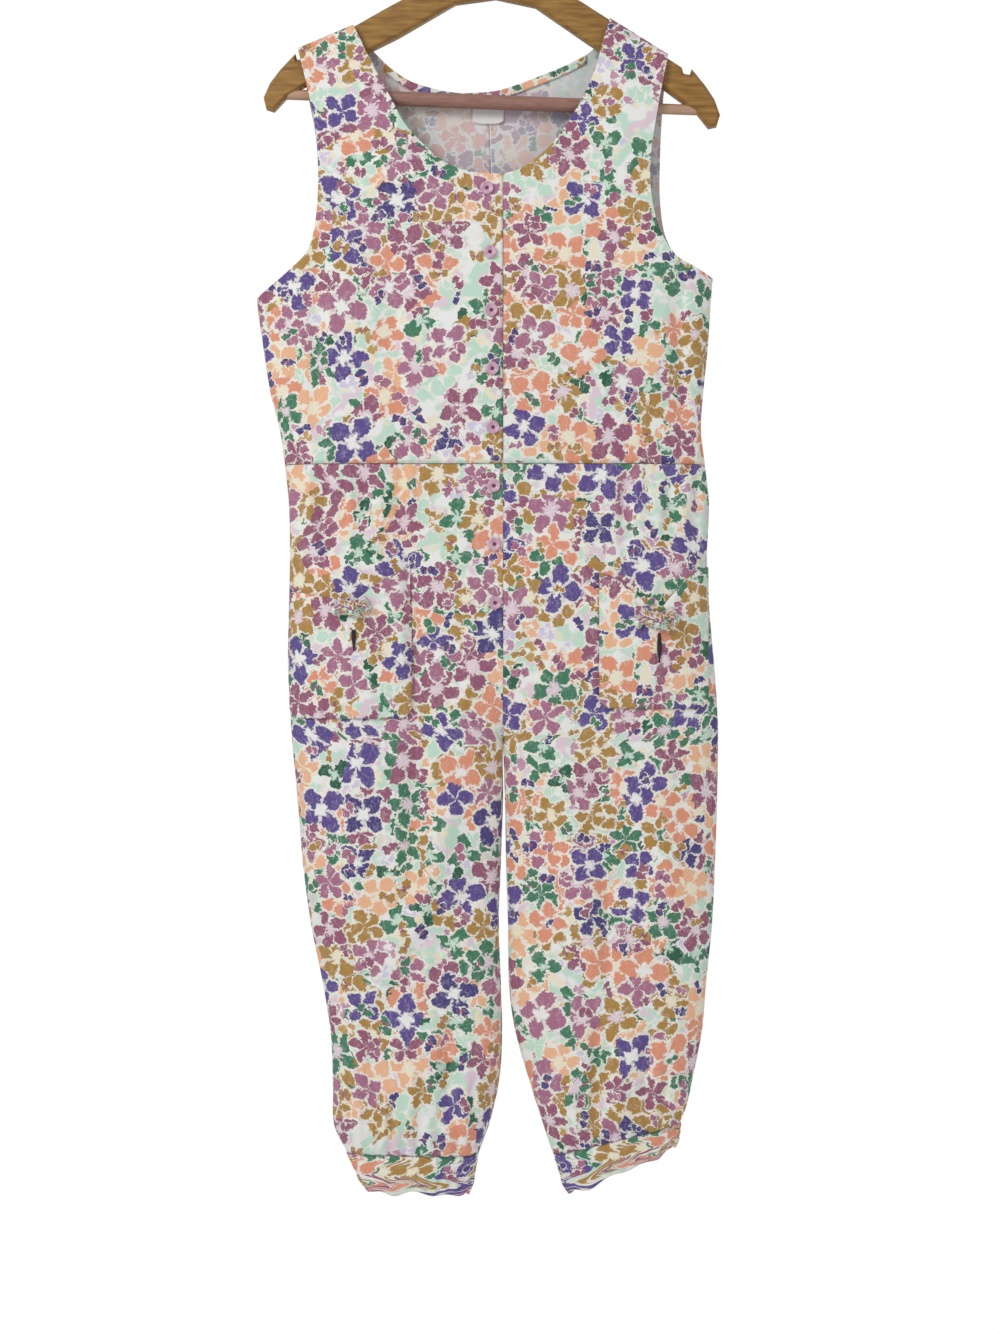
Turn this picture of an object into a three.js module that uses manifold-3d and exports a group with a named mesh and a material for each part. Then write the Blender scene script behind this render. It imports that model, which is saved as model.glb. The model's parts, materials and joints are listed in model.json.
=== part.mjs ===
// A sleeveless button-front romper with tie pockets and elastic hems, hung on a wooden
// hanger. Millimetres, +Z up. The origin is where the hanger's hook rests on a rail. -Y is the front of
// the garment, so +X is the wearer's left. "Right" and "left" in names are the wearer's own sides.
import * as THREE from "three";
import { mergeVertices } from "three/addons/utils/BufferGeometryUtils.js";
import Module from "manifold-3d";

// ---------------------------------------------------------------- driving dimensions

const CLOTH = 1.2; // wall of one layer of cloth
const SEAM_GAP = 0.3; // between two panels that are sewn together
const LAY_GAP = 0.8; // between a panel and a piece that lies on it
const POCKET_GAP = 1; // the pockets hang a little looser
const WAIST_Z = -570; // seam between the bodice and the legs
const CROTCH_Z = -843; // where the four leg panels meet
const CLOSING = 73; // height over which the rise seam turns in to the crotch
const SIDE_ROUND = 110; // how far in from a side seam the cloth is still turning
const SHOULDER_ROUND = 10; // height over which a strap rolls over the hanger

const GARMENT_SHIFT = 3; // the centre front hangs this far to the wearer's left of the hook

const STAND = { width: 24, top: -285, bottom: -745 }; // button stand under the lapped edge
const BUTTONS = 8;
const BUTTON = { radius: 6.6, thick: 2.4, off: 0.5 };
const TOP_BUTTON = { x: -16, z: -296 };
const LOW_BUTTON = { x: -8, z: -708 };
const FIRST_PITCH = 64; // the top two buttons are a little further apart than the rest

const CUFF_WALL = 2.4; // two layers of cloth over an elastic
const FACING = { width: 9, reach: 0.72 }; // bias strip inside the back neck
const LABEL = { right: -31, left: 1, top: -205, bottom: -226 };

const HANGER_TILT = THREE.MathUtils.degToRad(2.2); // it hangs a little lower on the wearer's left
const HANGER_THICK = 14;
const HANGER_BEVEL = 3;
// Half of the hanger's outline, from the hub's top, along the arm to its tip and back underneath.
const ARM = [
  [0, -58], [13, -60], [38, -80], [85, -104], [113, -120.5], [137, -135.5], [188, -166],
  [190, -172], [196, -173], [198, -167], [212, -183], [222, -197], [228, -212], [225, -223],
  [217, -225], [205, -211], [170, -187], [95, -146], [40, -111], [0, -104],
];
const BAR = { z: -207, radius: 5.25, reach: 213 };
const SLEEVE = { radius: 7.25, reach: 150 }; // non-slip sleeve on the bar
const HOOK = { wire: 2, bend: 21, stemEnd: -90, neck: -60, rise: 8 };
const HOOK_ARC = { from: -55, to: 200, step: 17 }; // degrees of the bend that rests on the rail
const HOOK_STEPS = 44;
const FIT = 0.3; // clearance of wood, wire and bar in their holes

// The body as a flattened tube: its two side lines, and how far the front and the back stand off the
// hanger's plane. Above the underarms the side lines only set how the cloth turns.
const BODY = [
  { z: -100, right: -262, left: 222, front: 13, back: 13 },
  { z: -210, right: -258, left: 218, front: 15, back: 15 },
  { z: -300, right: -252, left: 216, front: 19, back: 18 },
  { z: -404, right: -246, left: 208, front: 24, back: 21 },
  { z: -450, right: -240, left: 205, front: 25, back: 21 },
  { z: -500, right: -232, left: 200, front: 25, back: 21 },
  { z: -535, right: -223, left: 198, front: 24, back: 21 },
  { z: -570, right: -218, left: 202, front: 22, back: 20 },
  { z: -610, right: -214, left: 206, front: 25, back: 24 },
  { z: -660, right: -213, left: 204, front: 28, back: 28 },
  { z: -710, right: -214, left: 206, front: 30, back: 30 },
  { z: -768, right: -215, left: 211, front: 31, back: 31 },
  { z: -843, right: -211, left: 215, front: 30, back: 30 },
];

// Each leg below the waist: the side seam, the inner edge (centre seam, then inseam), and the depth
// on each side of the middle plane.
const RIGHT_LEG = [
  { sideX: -218, sideZ: -570, inX: 0, inZ: -570, front: 22, back: 20 },
  { sideX: -214, sideZ: -610, inX: 0, inZ: -610, front: 25, back: 24 },
  { sideX: -213, sideZ: -660, inX: 0, inZ: -660, front: 28, back: 28 },
  { sideX: -214, sideZ: -710, inX: 0, inZ: -710, front: 30, back: 30 },
  { sideX: -215, sideZ: -768, inX: 0, inZ: -768, front: 31, back: 31 },
  { sideX: -213, sideZ: -810, inX: 0, inZ: -810, front: 31, back: 31 },
  { sideX: -211, sideZ: -843, inX: 0, inZ: -843, front: 30, back: 30 },
  { sideX: -205, sideZ: -908, inX: -1, inZ: -908, front: 29, back: 29 },
  { sideX: -200, sideZ: -968, inX: -3, inZ: -968, front: 28, back: 28 },
  { sideX: -192, sideZ: -1028, inX: -5, inZ: -1028, front: 27, back: 27 },
  { sideX: -180, sideZ: -1088, inX: -3, inZ: -1088, front: 27, back: 27 },
  { sideX: -172, sideZ: -1140, inX: -2, inZ: -1140, front: 28, back: 28 },
  { sideX: -170, sideZ: -1190, inX: -5, inZ: -1185, front: 30, back: 29 },
  { sideX: -169, sideZ: -1228, inX: -14, inZ: -1226, front: 28, back: 27 },
  { sideX: -156, sideZ: -1256, inX: -25, inZ: -1258, front: 19, back: 19 },
];
const LEFT_LEG = [
  { sideX: 202, sideZ: -570, inX: 0, inZ: -570, front: 22, back: 20 },
  { sideX: 206, sideZ: -610, inX: 0, inZ: -610, front: 25, back: 24 },
  { sideX: 204, sideZ: -660, inX: 0, inZ: -660, front: 28, back: 28 },
  { sideX: 206, sideZ: -710, inX: 0, inZ: -710, front: 30, back: 30 },
  { sideX: 211, sideZ: -768, inX: 0, inZ: -768, front: 31, back: 31 },
  { sideX: 214, sideZ: -810, inX: 0, inZ: -810, front: 31, back: 31 },
  { sideX: 215, sideZ: -843, inX: 0, inZ: -843, front: 30, back: 30 },
  { sideX: 214, sideZ: -908, inX: 2, inZ: -908, front: 29, back: 29 },
  { sideX: 212, sideZ: -968, inX: 3, inZ: -968, front: 28, back: 28 },
  { sideX: 209, sideZ: -1028, inX: 5, inZ: -1028, front: 27, back: 27 },
  { sideX: 203, sideZ: -1088, inX: 6, inZ: -1088, front: 27, back: 27 },
  { sideX: 199, sideZ: -1134, inX: 12, inZ: -1134, front: 28, back: 28 },
  { sideX: 190, sideZ: -1180, inX: 26, inZ: -1184, front: 30, back: 29 },
  { sideX: 184, sideZ: -1208, inX: 40, inZ: -1228, front: 28, back: 27 },
  { sideX: 177, sideZ: -1226, inX: 50, inZ: -1258, front: 19, back: 19 },
];
const CUFFS = {
  right: { top: RIGHT_LEG.at(-1), hem: { sideX: -137, sideZ: -1294, inX: -33, inZ: -1297, depth: 16 } },
  left: { top: LEFT_LEG.at(-1), hem: { sideX: 172, sideZ: -1251, inX: 64, inZ: -1298, depth: 16 } },
};

// Cut edges of the bodice, each as [x, z] points from its lower end to the shoulder.
const EDGES = {
  rightArmFront: [
    [-246, -404], [-213, -378], [-192, -354], [-184, -307],
    [-185, -250], [-192, -207], [-205, -153],
  ],
  leftArmFront: [
    [210, -384], [190, -373], [171, -362], [155, -336],
    [147, -300], [147, -262], [154, -215], [165, -159],
  ],
  rightArmBack: [
    [-246, -404], [-216, -378], [-196, -354], [-187, -307],
    [-187, -250], [-194, -207], [-205, -153],
  ],
  leftArmBack: [
    [210, -384], [192, -371], [176, -360], [163, -336],
    [158, -300], [158, -262], [160, -215], [165, -159],
  ],
  rightNeckFront: [
    [0, -282], [-31, -279], [-59, -269], [-94, -236],
    [-110, -208], [-130, -171], [-150, -130],
  ],
  leftNeckFront: [
    [0, -282], [20, -275], [46, -254], [70, -221],
    [90, -181], [98, -154], [107, -123],
  ],
  rightNeckBack: [
    [-14, -193], [-47, -194], [-84, -186],
    [-104, -176], [-124, -159], [-150, -130],
  ],
  leftNeckBack: [
    [-14, -193], [2, -190], [35, -178],
    [70, -163], [92, -149], [107, -123],
  ],
  centreBack: [
    [0, -570], [-4, -440],
    [-10, -310], [-14, -193],
  ],
};
const UNDERARM = { right: -404, left: -384 };

// The largest folds, as ridges (depth over 0) and troughs (under 0) along a line from top to bottom.
const FRONT_FOLDS = [
  { x: 174, z: -368, toX: 180, toZ: -560, width: 11, depth: -6 },
  { x: -186, z: -345, toX: -184, toZ: -560, width: 14, depth: 3 },
  { x: -178, z: -585, toX: -178, toZ: -690, width: 12, depth: -6 },
  { x: -125, z: -580, toX: -122, toZ: -670, width: 11, depth: 5 },
  { x: -152, z: -580, toX: -150, toZ: -670, width: 11, depth: 4 },
  { x: 196, z: -580, toX: 190, toZ: -660, width: 11, depth: -5 },
  { x: 120, z: -580, toX: 122, toZ: -660, width: 12, depth: 4 },
  { x: 150, z: -580, toX: 154, toZ: -665, width: 12, depth: 4 },
  { x: -84, z: -720, toX: -92, toZ: -1040, width: 16, depth: -5 },
  { x: -40, z: -880, toX: -120, toZ: -1120, width: 18, depth: 5 },
  { x: -55, z: -1130, toX: -53, toZ: -1240, width: 12, depth: -8 },
  { x: -130, z: -1150, toX: -128, toZ: -1240, width: 13, depth: -6 },
  { x: 60, z: -860, toX: 92, toZ: -1100, width: 18, depth: 5 },
  { x: 95, z: -1140, toX: 92, toZ: -1240, width: 12, depth: -8 },
  { x: 146, z: -1130, toX: 138, toZ: -1225, width: 12, depth: -5 },
];
const BACK_FOLDS = [
  { x: -120, z: -300, toX: -126, toZ: -560, width: 16, depth: -5 },
  { x: 70, z: -290, toX: 84, toZ: -560, width: 16, depth: 5 },
  { x: -150, z: -585, toX: -160, toZ: -720, width: 13, depth: 5 },
  { x: -70, z: -585, toX: -72, toZ: -760, width: 14, depth: -5 },
  { x: 76, z: -585, toX: 80, toZ: -740, width: 14, depth: 5 },
  { x: 150, z: -585, toX: 156, toZ: -720, width: 13, depth: -5 },
  { x: -110, z: -860, toX: -116, toZ: -1230, width: 18, depth: 6 },
  { x: -50, z: -1080, toX: -58, toZ: -1240, width: 13, depth: -6 },
  { x: 112, z: -870, toX: 122, toZ: -1215, width: 18, depth: -6 },
  { x: 70, z: -1080, toX: 88, toZ: -1235, width: 13, depth: 6 },
];

// Patch pockets. The top edge falls from both corners to the knot of its ties.
const POCKETS = {
  right: {
    leg: RIGHT_LEG, bottom: -822, sideTop: -697, innerTop: -674, knotX: -149, knotZ: -714, size: 13,
  },
  left: {
    leg: LEFT_LEG, bottom: -812, sideTop: -672, innerTop: -678, knotX: 152, knotZ: -726, size: 15,
  },
};
const POCKET_SHARE = 0.3; // share of a leg's height where the pocket's columns are measured
const KNOT_DEPTH = 7;
const ROUND = 20; // facets of a button, the bar and its sleeve

// ---------------------------------------------------------------- colours

const cloth = (r, g, b) => new THREE.MeshStandardMaterial({
  color: new THREE.Color().setRGB(r, g, b, THREE.SRGBColorSpace), roughness: 0.9, metalness: 0,
});
const PRINT = cloth(0.86, 0.8, 0.78);
const LABEL_WHITE = cloth(0.93, 0.93, 0.92);
const BUTTON_PINK = new THREE.MeshStandardMaterial({ color: 0xc79aa9, roughness: 0.35, metalness: 0 });
const WOOD = new THREE.MeshStandardMaterial({ color: 0xb08438, roughness: 0.45, metalness: 0 });
const DOWEL = new THREE.MeshStandardMaterial({ color: 0xb98c6c, roughness: 0.5, metalness: 0 });
const SLEEVE_PINK = new THREE.MeshStandardMaterial({ color: 0xa3766a, roughness: 0.6, metalness: 0 });
const STEEL = new THREE.MeshStandardMaterial({ color: 0xc8c9cb, roughness: 0.25, metalness: 1 });

const romper = new THREE.Group();
const garment = new THREE.Group();
garment.position.x = GARMENT_SHIFT;
const hanger = new THREE.Group();
hanger.rotation.y = HANGER_TILT;
romper.add(garment, hanger);

function add(name, geometry, material, parent = garment) {
  const mesh = new THREE.Mesh(geometry, material);
  mesh.name = name;
  parent.add(mesh);
  return mesh;
}

// ---------------------------------------------------------------- curves and tables

const { clamp, lerp, smoothstep } = THREE.MathUtils;

// Every column of a table at place t between rows i and i + 1, joined smoothly.
function hermite(rows, i, t, spacing) {
  const last = rows.length - 1;
  const mixed = {};
  for (const key of Object.keys(rows[0])) {
    const value = (k) => rows[clamp(k, 0, last)][key];
    const slope = (k) => {
      const [a, b] = [Math.max(k - 1, 0), Math.min(k + 1, last)];
      return (value(b) - value(a)) / spacing(a, b);
    };
    const step = spacing(i, i + 1);
    const [t2, t3] = [t * t, t * t * t];
    mixed[key] = (2 * t3 - 3 * t2 + 1) * value(i) + (3 * t2 - 2 * t3) * value(i + 1)
      + ((t3 - 2 * t2 + t) * slope(i) + (t3 - t2) * slope(i + 1)) * step;
  }
  return mixed;
}

function bodyAt(z) {
  const inside = clamp(z, BODY.at(-1).z, BODY[0].z);
  let i = 0;
  while (i < BODY.length - 2 && inside < BODY[i + 1].z) i += 1;
  const gap = (a, b) => BODY[a].z - BODY[b].z;
  return hermite(BODY, i, (BODY[i].z - inside) / gap(i, i + 1), gap);
}

function legAt(rows, share) {
  const place = clamp(share, 0, 1) * (rows.length - 1);
  const i = Math.min(Math.floor(place), rows.length - 2);
  return hermite(rows, i, place - i, (a, b) => b - a);
}

const curves = {};
for (const [name, points] of Object.entries(EDGES)) {
  curves[name] = new THREE.SplineCurve(points.map(([x, z]) => new THREE.Vector2(x, z)));
}
const along = (name, share) => curves[name].getPointAt(clamp(share, 0, 1));

// ---------------------------------------------------------------- the cloth's surface

// 0 at a seam where the cloth turns to the other side, 1 where it lies flat. close says how far it turns.
const turn = (distance, round, close = 1) =>
  Math.sqrt(Math.max(0, 1 - close * Math.max(0, 1 - distance / round) ** 3));

function foldAt(folds, x, z) {
  let sum = 0;
  for (const f of folds) {
    const [dx, dz] = [f.toX - f.x, f.toZ - f.z];
    const length = Math.hypot(dx, dz);
    const down = ((x - f.x) * dx + (z - f.z) * dz) / (length * length);
    const off = ((x - f.x) * dz - (z - f.z) * dx) / length;
    const fade = smoothstep(down, -0.05, 0.3) * (1 - smoothstep(down, 0.75, 1.05));
    sum += f.depth * fade * Math.exp(-((off / f.width) ** 2));
  }
  return sum;
}

// The shoulder line, from a strap's outer end to its neck corner.
function shoulderZ(x) {
  const side = x < 0 ? "right" : "left";
  const [outer, neck] = [EDGES[side + "ArmFront"].at(-1), EDGES[side + "NeckFront"].at(-1)];
  return lerp(outer[1], neck[1], (x - outer[0]) / (neck[0] - outer[0]));
}

// How far the bodice's outer face stands off the middle plane.
function bodiceDepth(x, z, face) {
  const body = bodyAt(z);
  const sides = turn(x - body.right, SIDE_ROUND) * turn(body.left - x, SIDE_ROUND);
  const up = clamp((z - shoulderZ(x) + SHOULDER_ROUND) / SHOULDER_ROUND, 0, 1);
  const folds = foldAt(face === "front" ? FRONT_FOLDS : BACK_FOLDS, x, z);
  return (body[face] + folds) * sides * Math.sqrt(1 - up * up);
}

// A point of a leg's outer face. across runs from -1 at the side seam to 1 at the inner edge.
function legPoint(rows, share, across, face) {
  const leg = legAt(rows, share);
  const mid = (Math.sin((across * Math.PI) / 2) + 1) / 2;
  const [x, z] = [lerp(leg.sideX, leg.inX, mid), lerp(leg.sideZ, leg.inZ, mid)];
  const width = Math.hypot(leg.sideX - leg.inX, leg.sideZ - leg.inZ);
  const round = Math.min(SIDE_ROUND, width / 2);
  const close = clamp((CROTCH_Z + CLOSING - leg.inZ) / CLOSING, 0, 1) ** 1.5;
  const sides = turn(mid * width, round) * turn((1 - mid) * width, round, close);
  const folds = foldAt(face === "front" ? FRONT_FOLDS : BACK_FOLDS, x, z);
  const y = (leg[face] + folds) * sides;
  return new THREE.Vector3(x, face === "front" ? -y : y, z);
}

// ---------------------------------------------------------------- panels

// A front panel stays in front of the middle plane and a back panel behind it, so they meet at a seam.
// A leg stays on its own side of the centre seam.
function keepToFace(point, face, side) {
  const limit = SEAM_GAP / 2;
  if (side === "right") point.x = Math.min(point.x, -limit);
  if (side === "left") point.x = Math.max(point.x, limit);
  point.y = face === "front" ? Math.min(point.y, -limit) : Math.max(point.y, limit);
  return point;
}

const NUDGE = 0.004; // step of the numerical normal, as a share of a panel

// A wall of cloth on surface(u, v). us and vs list the columns and rows. outward is 1 where u to v turns
// the way that makes du x dv point out of the garment, and -1 where it points in. from and to are how far
// the wall's outer and inner face lie inside the surface, and inset is what a seam takes off each edge.
function panel(surface, us, vs, options) {
  const { outward = 1, face, side, from = 0, to = CLOTH, inset = SEAM_GAP / 2 } = options;
  const placed = (u, v) => {
    const wide = surface(0, v).distanceTo(surface(1, v)) || 1;
    const high = surface(u, 0).distanceTo(surface(u, 1)) || 1;
    const edge = (t, size) => clamp(t, inset / size, 1 - inset / size);
    return [edge(u, wide), edge(v, high)];
  };
  const normal = (u, v) => {
    const du = surface(Math.min(u + NUDGE, 1), v).sub(surface(Math.max(u - NUDGE, 0), v));
    const dv = surface(u, Math.min(v + NUDGE, 1)).sub(surface(u, Math.max(v - NUDGE, 0)));
    return du.cross(dv).normalize().multiplyScalar(outward);
  };
  const outer = [];
  const inner = [];
  for (const v of vs) {
    for (const u of us) {
      const [pu, pv] = placed(u, v);
      const [p, n] = [surface(pu, pv), normal(pu, pv)];
      outer.push(keepToFace(p.clone().addScaledVector(n, -from), face, side));
      inner.push(keepToFace(p.clone().addScaledVector(n, -to), face, side));
    }
  }
  return wall(outer, inner, us.length, vs.length, outward > 0);
}

// Joins two grids of points, cols wide and rows high, into one closed wall. A ring's columns close on
// themselves.
function wall(outer, inner, cols, rows, facesOut = true, ring = false) {
  const count = cols * rows;
  const index = [];
  const quad = (a, b, c, d) => (facesOut ? index.push(a, b, c, a, c, d) : index.push(a, c, b, a, d, c));
  const wide = ring ? cols : cols - 1;
  const at = (col, row) => row * cols + (col % cols);
  for (let row = 0; row < rows - 1; row += 1) {
    for (let col = 0; col < wide; col += 1) {
      const corners = [at(col, row), at(col + 1, row), at(col + 1, row + 1), at(col, row + 1)];
      quad(...corners);
      quad(...corners.map((k) => k + count).reverse());
    }
  }
  for (let col = 0; col < wide; col += 1) {
    const [low, high] = [[at(col, 0), at(col + 1, 0)], [at(col, rows - 1), at(col + 1, rows - 1)]];
    quad(low[0], low[0] + count, low[1] + count, low[1]);
    quad(high[1], high[1] + count, high[0] + count, high[0]);
  }
  for (let row = 0; !ring && row < rows - 1; row += 1) {
    const [near, far] = [[at(0, row), at(0, row + 1)], [at(cols - 1, row), at(cols - 1, row + 1)]];
    quad(near[1], near[1] + count, near[0] + count, near[0]);
    quad(far[0], far[0] + count, far[1] + count, far[1]);
  }
  const geometry = new THREE.BufferGeometry();
  const position = [...outer, ...inner].flatMap((p) => [p.x, p.y, p.z]);
  geometry.setAttribute("position", new THREE.Float32BufferAttribute(position, 3));
  geometry.setIndex(index);
  geometry.computeVertexNormals();
  return geometry;
}

const steps = (count, low = 0, high = 1) =>
  Array.from({ length: count + 1 }, (_, i) => lerp(low, high, i / count));

// ---------------------------------------------------------------- bodice

const UNDERARM_SHARE = 0.39; // share of a bodice panel's height at the underarm
const NECK_SHARE = { front: 0.66, back: 0.86 }; // and at the bottom of the neckline
const ROLL = [0.972, 0.986, 0.994, 0.998, 1]; // rows over the shoulder's roll
const BODICE_ROWS = [
  ...steps(4, 0, UNDERARM_SHARE), ...steps(3, UNDERARM_SHARE, NECK_SHARE.front).slice(1),
  ...steps(5, NECK_SHARE.front, 0.95).slice(1), ...ROLL,
];

// The side seam up to the underarm, then the armhole.
function outerEdge(side, face, v) {
  if (v >= UNDERARM_SHARE) {
    const name = side + (face === "front" ? "ArmFront" : "ArmBack");
    return along(name, (v - UNDERARM_SHARE) / (1 - UNDERARM_SHARE));
  }
  const z = lerp(WAIST_Z, UNDERARM[side], v / UNDERARM_SHARE);
  return new THREE.Vector2(bodyAt(z)[side], z);
}

// The centre line up to the neckline, then the neckline.
function innerEdge(side, face, v) {
  const share = NECK_SHARE[face];
  if (v >= share) return along(side + (face === "front" ? "NeckFront" : "NeckBack"), (v - share) / (1 - share));
  if (face === "back") return along("centreBack", v / share);
  return new THREE.Vector2(0, lerp(WAIST_Z, EDGES.rightNeckFront[0][1], v / share));
}

// A half front or back of the bodice. Its columns draw together at the side, where the cloth turns.
const bodiceSurface = (side, face) => (u, v) => {
  const [a, b] = [outerEdge(side, face, v), innerEdge(side, face, v)];
  const share = u * u * (1.5 - 0.5 * u);
  const [x, z] = [lerp(a.x, b.x, share), lerp(a.y, b.y, share)];
  const y = bodiceDepth(x, z, face);
  return new THREE.Vector3(x, face === "front" ? -y : y, z);
};

for (const side of ["right", "left"]) {
  const turnWay = side === "right" ? 1 : -1;
  const front = { outward: turnWay, face: "front" };
  const back = { outward: -turnWay, face: "back" };
  add(`bodice_front_${side}`, panel(bodiceSurface(side, "front"), steps(11), BODICE_ROWS, front), PRINT);
  add(`bodice_back_${side}`, panel(bodiceSurface(side, "back"), steps(9), BODICE_ROWS, back), PRINT);
}

// ---------------------------------------------------------------- legs

const LEG_ROWS = steps(20);
const LEG_COLUMNS = 13;
const POCKET_COLUMNS = { first: 1, last: 7 };

for (const [side, rows] of [["right", RIGHT_LEG], ["left", LEFT_LEG]]) {
  const turnWay = side === "right" ? -1 : 1;
  const surface = (face) => (u, v) => legPoint(rows, v, lerp(-1, 1, u), face);
  const front = { outward: turnWay, face: "front", side };
  const back = { outward: -turnWay, face: "back", side };
  add(`leg_front_${side}`, panel(surface("front"), steps(LEG_COLUMNS), LEG_ROWS, front), PRINT);
  add(`leg_back_${side}`, panel(surface("back"), steps(10), LEG_ROWS, back), PRINT);
}

// ---------------------------------------------------------------- elastic cuffs

const CUFF_COLUMNS = 28;
const CUFF_WAVES = 9;
const CUFF_RIPPLE = 1.2; // height of the gathers at the hem
const CUFF_ROWS = [0.01, 0.35, 0.7, 1]; // shares of the way from the seam to the hem

function cuff({ top, hem }, facesOut) {
  const grids = [[], []];
  for (const v of CUFF_ROWS) {
    for (let i = 0; i < CUFF_COLUMNS; i += 1) {
      const angle = (i / CUFF_COLUMNS) * 2 * Math.PI;
      const mid = (1 - Math.cos(angle)) / 2;
      const side = [lerp(top.sideX, hem.sideX, v), lerp(top.sideZ, hem.sideZ, v)];
      const inner = [lerp(top.inX, hem.inX, v), lerp(top.inZ, hem.inZ, v)];
      const [x, z] = [lerp(side[0], inner[0], mid), lerp(side[1], inner[1], mid)];
      const out = new THREE.Vector3(Math.cos(angle) * Math.sign(side[0] - inner[0]), -Math.sin(angle), 0);
      const wave = CUFF_RIPPLE * v * Math.cos(CUFF_WAVES * angle);
      const depth = lerp(top.front, hem.depth, v);
      const middle = new THREE.Vector3(x, -depth * Math.sin(angle), z);
      grids[0].push(middle.clone().addScaledVector(out, wave));
      grids[1].push(middle.clone().addScaledVector(out, wave - CUFF_WALL));
    }
  }
  return wall(grids[0], grids[1], CUFF_COLUMNS, CUFF_ROWS.length, facesOut, true);
}
add("cuff_right", cuff(CUFFS.right, false), PRINT);
add("cuff_left", cuff(CUFFS.left, true), PRINT);

// ---------------------------------------------------------------- what lies on the fronts

const SEARCH = { reach: 0.6, halvings: 30 }; // how far down a leg, and how finely, a height is looked for

// The place down a leg, and across it as legPoint takes it, of a point given by x and z near its top.
function legPlace(rows, x, z) {
  let [low, high] = [0, SEARCH.reach];
  for (let i = 0; i < SEARCH.halvings; i += 1) {
    const mid = (low + high) / 2;
    if (legAt(rows, mid).sideZ > z) low = mid;
    else high = mid;
  }
  const leg = legAt(rows, low);
  const share = clamp((x - leg.sideX) / (leg.inX - leg.sideX), 0, 1);
  return [low, Math.asin(2 * share - 1) / (Math.PI / 2)];
}

// The outer face of the right or left front at x and z, bodice or leg.
function frontPoint(x, z) {
  if (z > WAIST_Z) return new THREE.Vector3(x, -bodiceDepth(x, z, "front"), z);
  const rows = x < 0 ? RIGHT_LEG : LEFT_LEG;
  return legPoint(rows, ...legPlace(rows, x, z), "front");
}

function standSurface(u, v) {
  return frontPoint(lerp(-STAND.width, -SEAM_GAP, u), lerp(STAND.bottom, STAND.top, v));
}
const under = { from: CLOTH + LAY_GAP, to: 2 * CLOTH + LAY_GAP, face: "front" };
add("button_stand", panel(standSurface, steps(1), steps(16), under), PRINT);

// A pocket's columns are the leg's own, so it follows each of its folds.
function pocketSurface({ leg, bottom, sideTop, innerTop, knotX, knotZ }) {
  return (u, v) => {
    const across = lerp(-1, 1, lerp(POCKET_COLUMNS.first, POCKET_COLUMNS.last, u) / LEG_COLUMNS);
    const { x } = legPoint(leg, POCKET_SHARE, across, "front");
    const side = legPoint(leg, POCKET_SHARE, lerp(-1, 1, POCKET_COLUMNS.first / LEG_COLUMNS), "front").x;
    const inner = legPoint(leg, POCKET_SHARE, lerp(-1, 1, POCKET_COLUMNS.last / LEG_COLUMNS), "front").x;
    const [place, knotPlace] = [(x - side) / (inner - side), (knotX - side) / (inner - side)];
    const near = place < knotPlace ? place / knotPlace : (1 - place) / (1 - knotPlace);
    const top = lerp(place < knotPlace ? sideTop : innerTop, knotZ + 4, near ** 1.5);
    const [share] = legPlace(leg, x, lerp(bottom, top, v));
    return legPoint(leg, share, across, "front");
  };
}

function knot({ knotX, knotZ, size }) {
  const lump = new THREE.SphereGeometry(1, 14, 8);
  lump.rotateX(Math.PI / 2);
  lump.scale(size, KNOT_DEPTH, size * 0.8);
  const seat = frontPoint(knotX, knotZ).y - POCKET_GAP - CLOTH - LAY_GAP - KNOT_DEPTH;
  lump.translate(knotX, seat, knotZ);
  return lump;
}

const onTop = { from: -POCKET_GAP - CLOTH, to: -POCKET_GAP, face: "front" };
for (const [side, pocket] of Object.entries(POCKETS)) {
  const outward = side === "right" ? 1 : -1;
  add(`pocket_${side}`, panel(pocketSurface(pocket), steps(6), steps(7), { ...onTop, outward }), PRINT);
  add(`pocket_knot_${side}`, knot(pocket), PRINT);
}

for (let i = 0; i < BUTTONS; i += 1) {
  const pitch = (TOP_BUTTON.z - FIRST_PITCH - LOW_BUTTON.z) / (BUTTONS - 2);
  const z = i === 0 ? TOP_BUTTON.z : TOP_BUTTON.z - FIRST_PITCH - pitch * (i - 1);
  const x = lerp(TOP_BUTTON.x, LOW_BUTTON.x, Math.sqrt(i / (BUTTONS - 1)));
  const disc = new THREE.CylinderGeometry(BUTTON.radius, BUTTON.radius, BUTTON.thick, ROUND);
  disc.translate(x, frontPoint(x, z).y - BUTTON.off - BUTTON.thick / 2, z);
  add(`button_${i + 1}`, disc, BUTTON_PINK);
}

// ---------------------------------------------------------------- back neck

function neckPoint(t, drop) {
  const edge = along(t < 0 ? "rightNeckBack" : "leftNeckBack", Math.abs(t) * FACING.reach);
  const z = edge.y - drop;
  return new THREE.Vector3(edge.x, bodiceDepth(edge.x, z, "back"), z);
}
const inside = { from: CLOTH + LAY_GAP, to: 2 * CLOTH + LAY_GAP, face: "back" };
const facingSurface = (u, v) => neckPoint(lerp(-1, 1, u), lerp(FACING.width, 0.5, v));
add("neck_facing", panel(facingSurface, steps(14), steps(1), { ...inside, outward: -1 }), PRINT);
const labelSurface = (u, v) => {
  const [x, z] = [lerp(LABEL.right, LABEL.left, u), lerp(LABEL.bottom, LABEL.top, v)];
  return new THREE.Vector3(x, bodiceDepth(x, z, "back"), z);
};
add("label", panel(labelSurface, steps(2), steps(2), { ...inside, outward: -1 }), LABEL_WHITE);

// ---------------------------------------------------------------- hanger

const wasm = await Module();
wasm.setup();

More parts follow.
